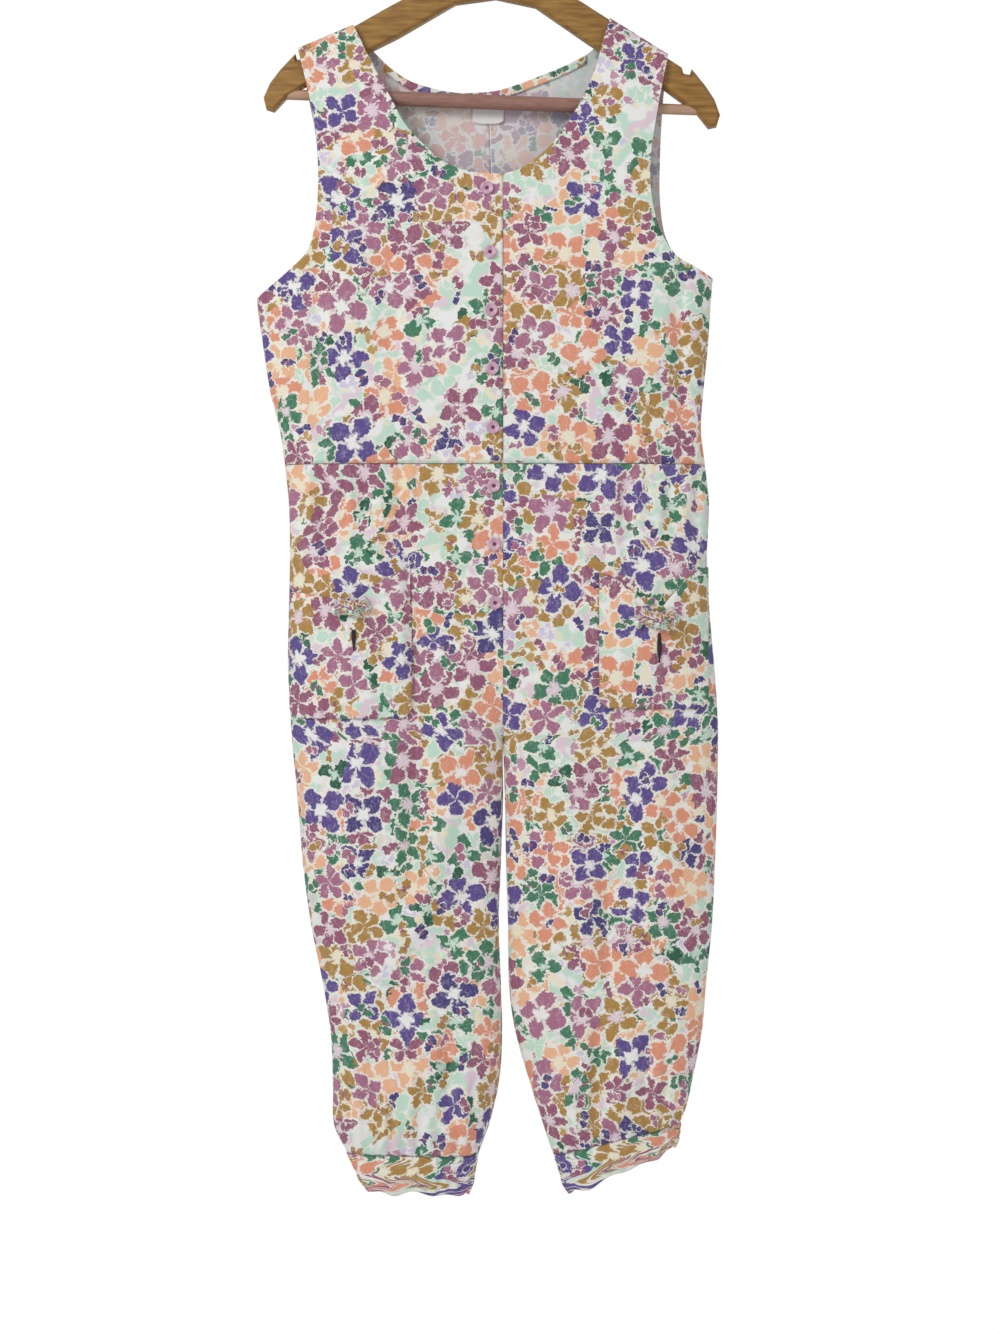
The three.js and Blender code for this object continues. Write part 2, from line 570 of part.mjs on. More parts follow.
function solid(geometry) {
  const bare = geometry.clone();
  bare.deleteAttribute("normal");
  bare.deleteAttribute("uv");
  const merged = mergeVertices(bare, 1e-4);
  const triVerts = new Uint32Array(merged.index.array);
  const vertProperties = merged.attributes.position.array;
  return new wasm.Manifold(new wasm.Mesh({ numProp: 3, vertProperties, triVerts }));
}

function fromSolid(shape) {
  const mesh = shape.getMesh();
  const geometry = new THREE.BufferGeometry();
  geometry.setAttribute("position", new THREE.BufferAttribute(mesh.vertProperties, 3));
  geometry.setIndex(new THREE.BufferAttribute(mesh.triVerts, 1));
  geometry.computeVertexNormals();
  return geometry;
}

function rod(radius, length, alongX, sides = ROUND) {
  const geometry = new THREE.CylinderGeometry(radius, radius, length, sides);
  return alongX ? geometry.rotateZ(Math.PI / 2) : geometry.rotateX(Math.PI / 2);
}

const left = ARM.slice(1, -1).map(([x, z]) => [-x, z]).reverse();
const outline = new THREE.Shape([...ARM, ...left].map(([x, z]) => new THREE.Vector2(x, z)));
const wood = new THREE.ExtrudeGeometry(outline, {
  depth: HANGER_THICK - 2 * HANGER_BEVEL, bevelSegments: 1,
  bevelThickness: HANGER_BEVEL, bevelSize: HANGER_BEVEL, bevelOffset: -HANGER_BEVEL,
});
wood.translate(0, 0, HANGER_BEVEL - HANGER_THICK / 2);
wood.rotateX(Math.PI / 2);
const barHole = rod(BAR.radius + FIT, 2 * (BAR.reach + FIT), true).translate(0, 0, BAR.z);
const stemLength = HOOK.neck + 10 - HOOK.stemEnd;
const stemHole = rod(HOOK.wire + FIT, stemLength, false, 12).translate(0, 0, HOOK.stemEnd - FIT + stemLength / 2);
add("hanger_arms", fromSolid(solid(wood).subtract(solid(barHole)).subtract(solid(stemHole))), WOOD, hanger);
add("trouser_bar", rod(BAR.radius, 2 * BAR.reach, true).translate(0, 0, BAR.z), DOWEL, hanger);

const ring = [
  [BAR.radius + FIT, -SLEEVE.reach], [SLEEVE.radius, -SLEEVE.reach], [SLEEVE.radius, SLEEVE.reach],
  [BAR.radius + FIT, SLEEVE.reach], [BAR.radius + FIT, -SLEEVE.reach],
].map(([r, y]) => new THREE.Vector2(r, y));
const sleeve = new THREE.LatheGeometry(ring, ROUND).rotateZ(Math.PI / 2).translate(0, 0, BAR.z);
add("bar_sleeve", sleeve, SLEEVE_PINK, hanger);

const hookCentre = HOOK.wire - HOOK.bend;
const hookPoints = [[0, HOOK.stemEnd], [0, HOOK.neck], [0, HOOK.neck + HOOK.rise]];
for (let angle = HOOK_ARC.from; angle <= HOOK_ARC.to; angle += HOOK_ARC.step) {
  const a = THREE.MathUtils.degToRad(angle);
  hookPoints.push([HOOK.bend * Math.cos(a), hookCentre + HOOK.bend * Math.sin(a)]);
}
const hookPath = new THREE.CatmullRomCurve3(hookPoints.map(([x, z]) => new THREE.Vector3(x, 0, z)));
const wireSection = new THREE.Shape().absarc(0, 0, HOOK.wire, 0, 2 * Math.PI);
const hook = new THREE.ExtrudeGeometry(wireSection, {
  steps: HOOK_STEPS, curveSegments: 5, extrudePath: hookPath,
});
add("hook", hook, STEEL, hanger);

export default romper;
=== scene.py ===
# %% [markdown]
# # A floral romper on a wooden hanger
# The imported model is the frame. The cloth of the real garment is one thin layer of printed cotton, so each
# cut piece is made again here as a fine shell on the same shape, with its creases and gathers.
# The hanger, its bar and its hook are right as they are, and only get better finishes.

# %% Load the frame
import json
import math

import bpy
import numpy as np
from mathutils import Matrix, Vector

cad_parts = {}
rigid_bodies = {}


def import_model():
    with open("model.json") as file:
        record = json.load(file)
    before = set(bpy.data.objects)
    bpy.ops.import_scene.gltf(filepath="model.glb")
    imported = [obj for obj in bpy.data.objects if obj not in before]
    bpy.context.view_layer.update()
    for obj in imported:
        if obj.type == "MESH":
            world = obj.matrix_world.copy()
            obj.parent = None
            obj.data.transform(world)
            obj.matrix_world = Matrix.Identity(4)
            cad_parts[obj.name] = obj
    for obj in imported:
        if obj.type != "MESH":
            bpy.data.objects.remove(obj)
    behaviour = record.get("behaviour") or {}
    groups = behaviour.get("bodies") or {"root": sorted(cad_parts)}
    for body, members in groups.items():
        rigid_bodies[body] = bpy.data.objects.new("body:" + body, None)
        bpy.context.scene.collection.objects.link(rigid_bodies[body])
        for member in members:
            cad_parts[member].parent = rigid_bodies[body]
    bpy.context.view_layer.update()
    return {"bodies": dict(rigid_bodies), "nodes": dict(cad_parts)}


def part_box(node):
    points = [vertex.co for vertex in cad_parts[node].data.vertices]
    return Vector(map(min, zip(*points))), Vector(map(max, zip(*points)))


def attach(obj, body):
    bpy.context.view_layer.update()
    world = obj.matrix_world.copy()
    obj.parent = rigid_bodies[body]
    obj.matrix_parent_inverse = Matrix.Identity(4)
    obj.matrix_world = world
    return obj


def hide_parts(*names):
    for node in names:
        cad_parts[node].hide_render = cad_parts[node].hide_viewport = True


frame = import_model()
MM = 0.001
print("frame nodes:", len(frame["nodes"]))

# %% [markdown]
# The camera comes first. It stands level in front of the cloth, far enough off for a long lens,
# and the hook stays above its view.

# %% Camera
VIEW_HEIGHT = 1.333
VIEW_MIDDLE_Z = -0.771
DISTANCE = 2.4
SENSOR = 36
camera_data = bpy.data.cameras.new("camera")
camera_data.sensor_width = SENSOR
camera_data.lens = SENSOR * DISTANCE / VIEW_HEIGHT
camera = bpy.data.objects.new("camera", camera_data)
camera.location = (0, -DISTANCE, VIEW_MIDDLE_Z)
camera.rotation_euler = (math.radians(90), 0, 0)
bpy.context.scene.collection.objects.link(camera)
bpy.context.scene.camera = camera
print("lens", round(camera_data.lens, 1), "mm")

# %% [markdown]
# ## Sizes of the cloth
# A maker works from a few measures: the side lines, how far the front and back stand off the hanger's
# plane, and the cut edges. They are kept in millimetres, in small tables.

# %% Tables of the body and legs
WAIST, CROTCH, CLOSING, SIDE_ROUND, SHOULDER_ROUND = -570, -843, 73, 110, 10
CLOTH, SHIFT = 1.2, 3
LEAN = 8  # how far the backs of the legs lean over, so that no light comes between them
HALF_SEAM = 0.15  # what a seam takes off each of its two panels
UNDER = 2.0  # how far a strip under the cloth lies inside the cloth's outer face
BODY = [  # z, right side, left side, front depth, back depth
    (-100, -262, 222, 13, 13), (-210, -258, 218, 15, 15), (-300, -252, 216, 19, 18),
    (-404, -246, 208, 24, 21), (-450, -240, 205, 25, 21), (-500, -232, 200, 25, 21),
    (-535, -223, 198, 24, 21), (-570, -218, 202, 22, 20), (-610, -214, 206, 25, 24),
]
RIGHT_LEG = [  # side x, side z, inner x, inner z, front depth, back depth
    (-218, -570, 0, -570, 22, 20), (-214, -610, 0, -610, 25, 24), (-213, -660, 0, -660, 28, 28),
    (-214, -710, 0, -710, 30, 30), (-215, -768, 0, -768, 31, 31), (-213, -810, 0, -810, 31, 31),
    (-211, -843, 0, -843, 30, 30), (-205, -908, -1, -908, 29, 29), (-200, -968, -3, -968, 28, 28),
    (-192, -1028, -5, -1028, 27, 27), (-180, -1088, -3, -1088, 27, 27), (-172, -1140, -2, -1140, 28, 28),
    (-170, -1190, -5, -1185, 30, 29), (-169, -1228, -14, -1226, 28, 27), (-156, -1256, -25, -1258, 19, 19),
]
LEFT_LEG = [
    (202, -570, 0, -570, 22, 20), (206, -610, 0, -610, 25, 24), (204, -660, 0, -660, 28, 28),
    (206, -710, 0, -710, 30, 30), (211, -768, 0, -768, 31, 31), (214, -810, 0, -810, 31, 31),
    (215, -843, 0, -843, 30, 30), (214, -908, 2, -908, 29, 29), (212, -968, 3, -968, 28, 28),
    (209, -1028, 5, -1028, 27, 27), (203, -1088, 6, -1088, 27, 27), (199, -1134, 12, -1134, 28, 28),
    (190, -1180, 26, -1184, 30, 29), (184, -1208, 40, -1228, 28, 27), (177, -1226, 50, -1258, 19, 19),
]
HEMS = {"right": (-137, -1294, -33, -1297, 16, 16), "left": (172, -1251, 64, -1298, 16, 16)}
EDGES = {
    "rightArmFront": [
        (-246, -404), (-213, -378), (-192, -354), (-184, -307),
        (-185, -250), (-192, -207), (-205, -153),
    ],
    "leftArmFront": [
        (210, -384), (190, -373), (171, -362), (155, -336),
        (147, -300), (147, -262), (154, -215), (165, -159),
    ],
    "rightArmBack": [
        (-246, -404), (-216, -378), (-196, -354), (-187, -307),
        (-187, -250), (-194, -207), (-205, -153),
    ],
    "leftArmBack": [
        (210, -384), (192, -371), (176, -360), (163, -336),
        (158, -300), (158, -262), (160, -215), (165, -159),
    ],
    "rightNeckFront": [
        (0, -282), (-31, -279), (-59, -269), (-94, -236),
        (-110, -208), (-130, -171), (-150, -130),
    ],
    "leftNeckFront": [
        (0, -282), (20, -275), (46, -254), (70, -221),
        (90, -181), (98, -154), (107, -123),
    ],
    "rightNeckBack": [
        (-14, -193), (-47, -194), (-84, -186),
        (-104, -176), (-124, -159), (-150, -130),
    ],
    "leftNeckBack": [
        (-14, -193), (2, -190), (35, -178),
        (70, -163), (92, -149), (107, -123),
    ],
    "centreBack": [
        (0, -570), (-4, -440),
        (-10, -310), (-14, -193),
    ],
}
UNDERARM = {"right": -404, "left": -384}

# %% [markdown]
# ## Creases
# Cotton that hangs keeps a few long soft folds, and short deep ones run down from the gathered waist.
# Each is a ridge or a trough along a line. No cloth is simulated.

# %% Folds
FRONT_FOLDS = [  # x, z, to x, to z, width, depth
    (174, -368, 180, -560, 9, -7), (-186, -345, -184, -560, 8, -5), (-112, -300, -108, -560, 14, -3),
    (-178, -572, -178, -690, 6, -7), (-125, -575, -122, -670, 6, 5), (-152, -575, -150, -670, 6, 4),
    (-105, -575, -100, -660, 5, -7), (-140, -572, -138, -630, 4, -4), (-92, -574, -90, -640, 5, 4),
    (-196, -574, -192, -650, 5, 4), (-165, -574, -166, -640, 4, 3), (-98, -640, -84, -830, 6, -8),
    (-84, -800, -92, -1040, 10, -7), (196, -575, 190, -660, 6, -6), (120, -572, 122, -680, 5, -6),
    (135, -572, 137, -650, 5, 4), (152, -574, 154, -665, 5, 4), (168, -574, 168, -640, 4, -4),
    (182, -574, 180, -650, 5, 4), (106, -575, 108, -645, 4, 3), (-40, -880, -120, -1120, 12, 5),
    (-20, -960, -90, -1130, 9, -4), (-60, -1010, -140, -1150, 10, -4), (-55, -1110, -53, -1240, 7, -9),
    (-130, -1130, -128, -1240, 8, -7), (-90, -1160, -92, -1245, 6, 5), (-150, -1170, -148, -1245, 5, 4),
    (-110, -1190, -112, -1250, 4, -4), (-35, -1170, -38, -1250, 5, 4), (60, -860, 92, -1100, 14, 5),
    (104, -960, 104, -1120, 7, -5), (95, -1110, 92, -1240, 7, -9), (146, -1120, 138, -1225, 8, -6),
    (120, -1160, 114, -1236, 5, 5), (165, -1150, 160, -1222, 5, -5), (68, -1180, 74, -1245, 5, 5),
    (30, -760, 70, -860, 12, 3), (-20, -760, -60, -850, 12, 3), (150, -830, 170, -1040, 14, 3),
]
BACK_FOLDS = [
    (-120, -300, -126, -560, 14, -5), (70, -290, 84, -560, 14, 5), (-20, -330, -30, -540, 12, 3),
    (-150, -575, -160, -720, 7, 6), (-120, -575, -122, -690, 5, -5), (-70, -575, -72, -760, 8, -6),
    (-95, -574, -97, -660, 5, 4), (-40, -574, -40, -650, 5, 4), (30, -574, 32, -660, 5, -4),
    (76, -575, 80, -740, 8, 6), (110, -574, 112, -670, 5, -5), (150, -575, 156, -720, 7, -6),
    (180, -574, 182, -660, 5, 4), (-110, -860, -116, -1230, 14, 6), (-50, -1080, -58, -1240, 8, -8),
    (-85, -1140, -88, -1245, 6, 5), (-140, -1130, -140, -1240, 7, -6), (112, -870, 122, -1215, 14, -6),
    (70, -1080, 88, -1235, 8, 7), (150, -1110, 150, -1225, 7, -6), (112, -1150, 110, -1238, 5, -5),
    (-60, -780, -30, -860, 12, 4), (60, -780, 30, -860, 12, -4),
]
GATHER_ZONES = {"front": [(-195, -82), (108, 196)], "back": [(-190, -20), (20, 190)]}


def smooth(x, low, high):
    t = np.clip((x - low) / (high - low), 0, 1)
    return t * t * (3 - 2 * t)


def folds_at(folds, x, z):
    total = np.zeros_like(x)
    for fx, fz, tx, tz, width, depth in folds:
        dx, dz = tx - fx, tz - fz
        length = math.hypot(dx, dz)
        down = ((x - fx) * dx + (z - fz) * dz) / length**2
        off = ((x - fx) * dz - (z - fz) * dx) / length
        fade = smooth(down, -0.02, 0.25) * (1 - smooth(down, 0.6, 1.05))
        total += depth * fade * np.exp(-((off / width) ** 2))
    return total


def ripples(x, z, face):
    """Small gathers under the waist, and a soft unevenness all over."""
    phase = 0.0 if face == "front" else 1.7
    uneven = 0.7 * np.sin(x * 0.055 + z * 0.021 + phase) + 0.5 * np.sin(x * 0.031 - z * 0.047 + 2 * phase)
    zone = sum(smooth(x, a - 12, a + 12) * (1 - smooth(x, b - 12, b + 12)) for a, b in GATHER_ZONES[face])
    waist = smooth(z, WAIST - 75, WAIST - 10) * (z <= WAIST + 0.01)
    pleats = 1.5 * np.sin(x * 0.52 + 1.5 * np.sin(x * 0.09 + phase)) * zone * waist
    ankle = 1 - smooth(z, -1250, -1160)
    return uneven + pleats + ankle * 1.8 * np.sin(x * 0.42 + 2 * np.sin(x * 0.05 + phase))


print("folds:", len(FRONT_FOLDS), "front,", len(BACK_FOLDS), "back")

# %% [markdown]
# ## The surface of the cloth
# Rows of the tables are joined by smooth cubics, and the depth rounds off towards the side seams,
# so that front and back turn into each other as one flattened tube.

# %% Curves and surfaces


def cubic_rows(rows, at, place):
    """Smooth values of every column of rows at the places asked for. at gives each row's place."""
    rows, at = np.array(rows, float), np.array(at, float)
    last = len(rows) - 1
    before, after = np.maximum(np.arange(last + 1) - 1, 0), np.minimum(np.arange(last + 1) + 1, last)
    slope = (rows[after] - rows[before]) / (at[after] - at[before])[:, None]
    place = np.clip(place, at[0], at[-1])
    i = np.clip(np.searchsorted(at, place, side="right") - 1, 0, last - 1)
    step = at[i + 1] - at[i]
    t = ((place - at[i]) / step)[..., None]
    step = step[..., None]
    hold = (2 * t**3 - 3 * t**2 + 1) * rows[i] + (3 * t**2 - 2 * t**3) * rows[i + 1]
    return hold + ((t**3 - 2 * t**2 + t) * slope[i] + (t**3 - t**2) * slope[i + 1]) * step


def body_at(z):
    rows = [row[1:] for row in reversed(BODY)]
    return np.moveaxis(cubic_rows(rows, [row[0] for row in reversed(BODY)], z), -1, 0)


def leg_at(rows, share):
    return np.moveaxis(cubic_rows(rows, np.arange(len(rows)), share * (len(rows) - 1)), -1, 0)


def edge_curve(points, samples=40):
    p = np.array(points, float)
    out = []
    for i in range(len(p) - 1):
        a, b = p[max(i - 1, 0)], p[min(i + 2, len(p) - 1)]
        t = np.linspace(0, 1, samples, endpoint=False)[:, None]
        v0, v1 = (p[i + 1] - a) / 2, (b - p[i]) / 2
        out.append((2 * t**3 - 3 * t**2 + 1) * p[i] + (3 * t**2 - 2 * t**3) * p[i + 1]
                   + (t**3 - 2 * t**2 + t) * v0 + (t**3 - t**2) * v1)
    out = np.vstack(out + [p[-1:]])
    length = np.concatenate([[0], np.cumsum(np.hypot(*np.diff(out, axis=0).T))])
    return out, length / length[-1]


CURVES = {name: edge_curve(points) for name, points in EDGES.items()}


def along(name, share):
    points, length = CURVES[name]
    share = np.clip(share, 0, 1)
    return np.interp(share, length, points[:, 0]), np.interp(share, length, points[:, 1])


def turn(distance, size, close=1.0):
    return np.sqrt(np.clip(1 - close * np.clip(1 - distance / size, 0, 1) ** 3, 0, 1))


def shoulder_z(x):
    right = np.interp(x, (-205, -150), (-153, -130))
    left = np.interp(x, (107, 165), (-123, -159))
    return np.where(x < 0, right, left)


def bodice_y(x, z, face):
    right, left, front, back = body_at(z)
    sides = turn(x - right, SIDE_ROUND) * turn(left - x, SIDE_ROUND)
    up = np.clip((z - shoulder_z(x) + SHOULDER_ROUND) / SHOULDER_ROUND, 0, 1)
    folds = folds_at(FRONT_FOLDS if face == "front" else BACK_FOLDS, x, z) + ripples(x, z, face)
    y = ((front if face == "front" else back) + folds) * sides * np.sqrt(1 - up * up)
    return -y if face == "front" else y


def leg_points(rows, share, across, face):
    side_x, side_z, in_x, in_z, front, back = leg_at(rows, share)
    mid = (np.sin(across * math.pi / 2) + 1) / 2
    x, z = side_x + (in_x - side_x) * mid, side_z + (in_z - side_z) * mid
    width = np.hypot(side_x - in_x, side_z - in_z)
    size = np.minimum(SIDE_ROUND, width / 2)
    close = np.clip((CROTCH + CLOSING - in_z) / CLOSING, 0, 1) ** 1.5
    sides = turn(mid * width, size) * turn((1 - mid) * width, size, close)
    folds = folds_at(FRONT_FOLDS if face == "front" else BACK_FOLDS, x, z) + ripples(x, z, face)
    y = ((front if face == "front" else back) + folds) * sides
    if face == "back":
        x = x + LEAN * smooth(-in_z, -CROTCH, -CROTCH + 60) * smooth(mid, 0.8, 0.98) * np.clip(y / 20, 0, 1)
    return np.stack([x, -y if face == "front" else y, z], -1)


UNDERARM_SHARE, NECK_SHARE = 0.39, {"front": 0.66, "back": 0.86}


def bodice_points(side, face, u, v):
    hole = side + ("ArmFront" if face == "front" else "ArmBack")
    arm = along(hole, (v - UNDERARM_SHARE) / (1 - UNDERARM_SHARE))
    low_z = WAIST + (UNDERARM[side] - WAIST) * v / UNDERARM_SHARE
    low_x = body_at(low_z)[0 if side == "right" else 1]
    below = v < UNDERARM_SHARE
    ax, az = np.where(below, low_x, arm[0]), np.where(below, low_z, arm[1])
    share = NECK_SHARE[face]
    neck = along(side + ("NeckFront" if face == "front" else "NeckBack"), (v - share) / (1 - share))
    if face == "back":
        mx, mz = along("centreBack", v / share)
    else:
        mx, mz = np.zeros_like(v), WAIST + (EDGES["rightNeckFront"][0][1] - WAIST) * v / share
    bx, bz = np.where(v < share, mx, neck[0]), np.where(v < share, mz, neck[1])
    mix = u * u * (1.5 - 0.5 * u)
    x, z = ax + (bx - ax) * mix, az + (bz - az) * mix
    return np.stack([x, bodice_y(x, z, face), z], -1)


def leg_place(rows, x, z):
    """The share down a leg and the place across it of a point near its top."""
    shares = np.linspace(0, 0.6, 400)
    share = np.interp(-z, -leg_at(rows, shares)[1], shares)
    side_x, _, in_x, _, _, _ = leg_at(rows, share)
    mid = np.clip((x - side_x) / (in_x - side_x), 0, 1)
    return share, np.arcsin(2 * mid - 1) / (math.pi / 2)


def front_point(x, z):
    x, z = np.asarray(x, float), np.asarray(z, float)
    top = np.stack([x, bodice_y(x, z, "front"), z], -1)
    out = np.where((z > WAIST)[..., None], top, 0)
    for rows, mine in ((RIGHT_LEG, x < 0), (LEFT_LEG, x >= 0)):
        share, across = leg_place(rows, x, z)
        out = np.where((mine & (z <= WAIST))[..., None], leg_points(rows, share, across, "front"), out)
    return out


print("surfaces ready")

# %% [markdown]
# ## Shader maths
# A printed pattern is a lot of arithmetic. Written as nodes it is a maze, so one small class wraps a socket
# and lets the usual signs stand for Math nodes. Colours and vectors have nodes of their own.

# %% A socket that does sums


class Value:
    def __init__(self, shader, socket):
        self.shader, self.socket = shader, socket

    def math(self, operation, *others, clamp=False):
        inputs = dict(enumerate([self, *others]))
        return self.shader.node("ShaderNodeMath", {"operation": operation, "use_clamp": clamp}, inputs)[0]

    def __add__(self, other):
        return self.math("ADD", other)

    __radd__ = __add__

    def __sub__(self, other):
        return self.math("SUBTRACT", other)

    def __rsub__(self, other):
        return (self * -1) + other

    def __mul__(self, other):
        return self.math("MULTIPLY", other)

    __rmul__ = __mul__

    def __truediv__(self, other):
        return self.math("DIVIDE", other)

    def __gt__(self, other):
        return self.math("GREATER_THAN", other)

    def __lt__(self, other):
        return self.math("LESS_THAN", other)

    def cos(self):
        return self.math("COSINE")

    def clamped(self):
        return self.math("ADD", 0, clamp=True)


class Shader:
    """A material with its Principled shader, and one method that adds any other node."""

    def __init__(self, name, **base):
        self.material = bpy.data.materials.new(name)
        self.material.use_nodes = True
        self.tree = self.material.node_tree
        self.main = self.tree.nodes["Principled BSDF"]
        for key, value in base.items():
            self.main.inputs[key.replace("_", " ")].default_value = value

    def put(self, socket, value):
        if isinstance(value, Value):
            self.tree.links.new(value.socket, socket)
        else:
            socket.default_value = value

    def node(self, kind, settings=None, inputs=None):
        new = self.tree.nodes.new(kind)
        for key, value in (settings or {}).items():
            if key == "stops":
                ramp = new.color_ramp
                ramp.interpolation = "CONSTANT"
                for place, colour in value[2:]:
                    ramp.elements.new(place)
                for element, (place, colour) in zip(ramp.elements, value):
                    element.position = place
                    element.color = (*colour, 1)
            else:
                setattr(new, key, value)
        for key, value in (inputs or {}).items():
            self.put(new.inputs[key], value)
        return [Value(self, out) for out in new.outputs]

    def vector(self, operation, a, b=None, scale=None):
        inputs = {0: a}
        if b is not None:
            inputs[1] = b
        if scale is not None:
            inputs["Scale"] = scale
        outs = self.node("ShaderNodeVectorMath", {"operation": operation}, inputs)
        return outs[1] if operation == "LENGTH" else outs[0]

    def mix(self, mask, below, above):
        colours = [(*c, 1) if isinstance(c, tuple) else c for c in (below, above)]
        outs = self.node("ShaderNodeMix", {"data_type": "RGBA"}, {0: mask, 6: colours[0], 7: colours[1]})
        return outs[2]

    def noise(self, place, scale, detail=2.0, rough=0.5):
        inputs = {"Vector": place, "Scale": scale, "Detail": detail, "Roughness": rough}
        return self.node("ShaderNodeTexNoise", {}, inputs)

    def bump(self, height, strength, distance):
        inputs = {"Strength": strength, "Distance": distance, "Height": height}
        return self.node("ShaderNodeBump", {}, inputs)[0]

    def feed(self, **links):
        for key, value in links.items():
            self.put(self.main.inputs[key.replace("_", " ")], value)


print("shader tools ready")

# %% [markdown]
# ## The print
# A crowded painterly flower print: pale washes first, then leaves, petals and flower heads on top of each
# other, each with a thin pale rim, as a screen printer lays them. Every head grows round the middle
# of a Voronoi cell, its radius waves with the angle to make petals, and noise frills the edge.

# %% Colours of the print


def srgb(r, g, b):
    def one(c):
        c /= 255
        return c / 12.92 if c <= 0.04045 else ((c + 0.055) / 1.055) ** 2.4
    return (one(r), one(g), one(b))


GREEN, DEEP_GREEN = srgb(74, 132, 102), srgb(52, 104, 80)
MUSTARD, PALE_MUSTARD = srgb(184, 142, 76), srgb(204, 164, 100)
MAUVE, PLUM, ROSE = srgb(178, 118, 146), srgb(160, 98, 124), srgb(204, 156, 180)
CORAL, PEACH = srgb(236, 158, 128), srgb(248, 192, 152)
PURPLE, INDIGO = srgb(102, 84, 150), srgb(84, 74, 132)
MINT, LAVENDER, PINK = srgb(206, 236, 216), srgb(222, 214, 238), srgb(238, 216, 228)
CREAM, WHITE, RIM = srgb(250, 240, 212), srgb(250, 250, 248), srgb(252, 250, 240)


def ramp_of(colours):
    return [(i / len(colours), colour) for i, colour in enumerate(colours)]


# One row for each layer, from the bottom up: spacing of the heads in mm, petals, size as a share of the
# spacing, how deep the petals are cut, share of cells in use, heads' colours, and the middle's colour.
LAYERS = [
    (21, 3, 0.52, 0.20, 0.62, [ROSE, PEACH, MINT, LAVENDER, PALE_MUSTARD], WHITE),
    (33, 3, 0.60, 0.30, 0.74, [GREEN, GREEN, DEEP_GREEN, GREEN, MINT], MINT),
    (37, 5, 0.62, 0.14, 0.58, [MUSTARD, CORAL, MUSTARD, PEACH, CORAL], CREAM),
    (41, 5, 0.58, 0.20, 0.58, [PLUM, MUSTARD, MAUVE, PLUM, GREEN], PINK),
    (47, 4, 0.52, 0.20, 0.52, [PURPLE, CORAL, PURPLE, MAUVE, INDIGO], WHITE),
    (19, 2, 0.46, 0.26, 0.30, [PLUM, INDIGO, MUSTARD, MAUVE, GREEN], PLUM),
]


def printed(name, fade):
    """The printed cotton. fade is how far the colours pale, for the wrong side."""
    s = Shader(name, Roughness=0.86)
    s.main.inputs["Specular IOR Level"].default_value = 0.25
    s.main.inputs["Sheen Weight"].default_value = 0.12
    cloth = s.node("ShaderNodeUVMap", {"uv_map": "cloth"})[0]
    place = s.vector("SCALE", cloth, scale=1000.0)
    wander = s.vector("SUBTRACT", s.noise(place, 0.085)[1], (0.5, 0.5, 0.5))
    frill = s.vector("SUBTRACT", s.noise(place, 0.34)[1], (0.5, 0.5, 0.5))
    bent = s.vector("ADD", s.vector("ADD", place, s.vector("SCALE", wander, scale=11.0)),
                    s.vector("SCALE", frill, scale=5.5))
    strokes = s.noise(s.vector("MULTIPLY", bent, (0.32, 0.09, 1.0)), 1.0, 3.0)[0]
    colour = s.mix(((s.noise(place, 0.045)[0] - 0.46) * 12).clamped(), WHITE, MINT)
    for shift, least, wash in (((310, 90, 0), 0.53, PINK), ((70, 510, 0), 0.56, CREAM)):
        patches = s.noise(s.vector("ADD", place, shift), 0.05)[0]
        colour = s.mix(((patches - least) * 12).clamped(), colour, wash)
    for number, (spacing, petals, size, cut, share, heads, middle) in enumerate(LAYERS):
        shifted = s.vector("ADD", bent, (137.0 * number + 50, 71.0 * number + 20, 0))
        cells = s.vector("SCALE", shifted, scale=1 / spacing)
        voronoi = s.node("ShaderNodeTexVoronoi", {"voronoi_dimensions": "2D"},
                         {"Vector": cells, "Scale": 1.0, "Randomness": 0.72})
        away = s.vector("SUBTRACT", cells, voronoi[2])
        x, y, _ = s.node("ShaderNodeSeparateXYZ", {}, {0: away})
        red, green, blue = s.node("ShaderNodeSeparateColor", {}, {0: voronoi[1]})
        angle = y.math("ARCTAN2", x)
        lobes = (angle * petals + green * 6.28).cos()
        reach = (1 - cut) + lobes * cut
        reach = reach * size * (0.72 + blue * 0.42)
        inside = reach - voronoi[0]
        used = red < share
        rim = ((inside + 0.055) * 26).clamped() * used
        fill = (inside * 26).clamped() * used
        kind = (green * 3.7).math("FRACT")
        head = s.node("ShaderNodeValToRGB", {"stops": ramp_of(heads)}, {0: kind})[0]
        streak = ((strokes - 0.52) * 6).clamped() * 0.45
        head = s.mix(streak, head, s.mix(0.5, head, WHITE))
        heart = ((reach * 0.36 - voronoi[0]) * 20).clamped() * (blue > 0.3)
        head = s.mix(heart, head, middle)
        vein = ((lobes * -1 - 0.72) * 8).clamped() * 0.8
        colour = s.mix(rim, colour, RIM)
        colour = s.mix(fill, colour, s.mix(vein, head, RIM))
    if fade:
        colour = s.mix(fade, colour, srgb(226, 226, 232))
    threads = {"Vector": place, "Scale": 0.9, "Distortion": 0.4}
    weave_x = s.node("ShaderNodeTexWave", {"bands_direction": "X"}, threads)[1]
    weave_y = s.node("ShaderNodeTexWave", {"bands_direction": "Y"}, threads)[1]
    s.feed(Base_Color=colour, Roughness=0.82 + strokes * 0.1,
           Normal=s.bump(weave_x * 0.5 + weave_y * 0.5 + s.noise(place, 0.12)[0], 0.28, 0.0006))
    return s.material


RIGHT_SIDE = printed("printed_cotton", 0)
WRONG_SIDE = printed("printed_cotton_wrong_side", 0.56)
print("print layers:", len(LAYERS))

# %% [markdown]
# ## Making a shell
# A cut piece of cloth is two grids a millimetre apart, joined round the edge. The outer one takes the
# right side of the print and the inner one the wrong side. A panel's UV map is x and z in metres, widened
# where the cloth turns at its sides, and a cuff's is lengths round the ring. The print is cut off at a seam.

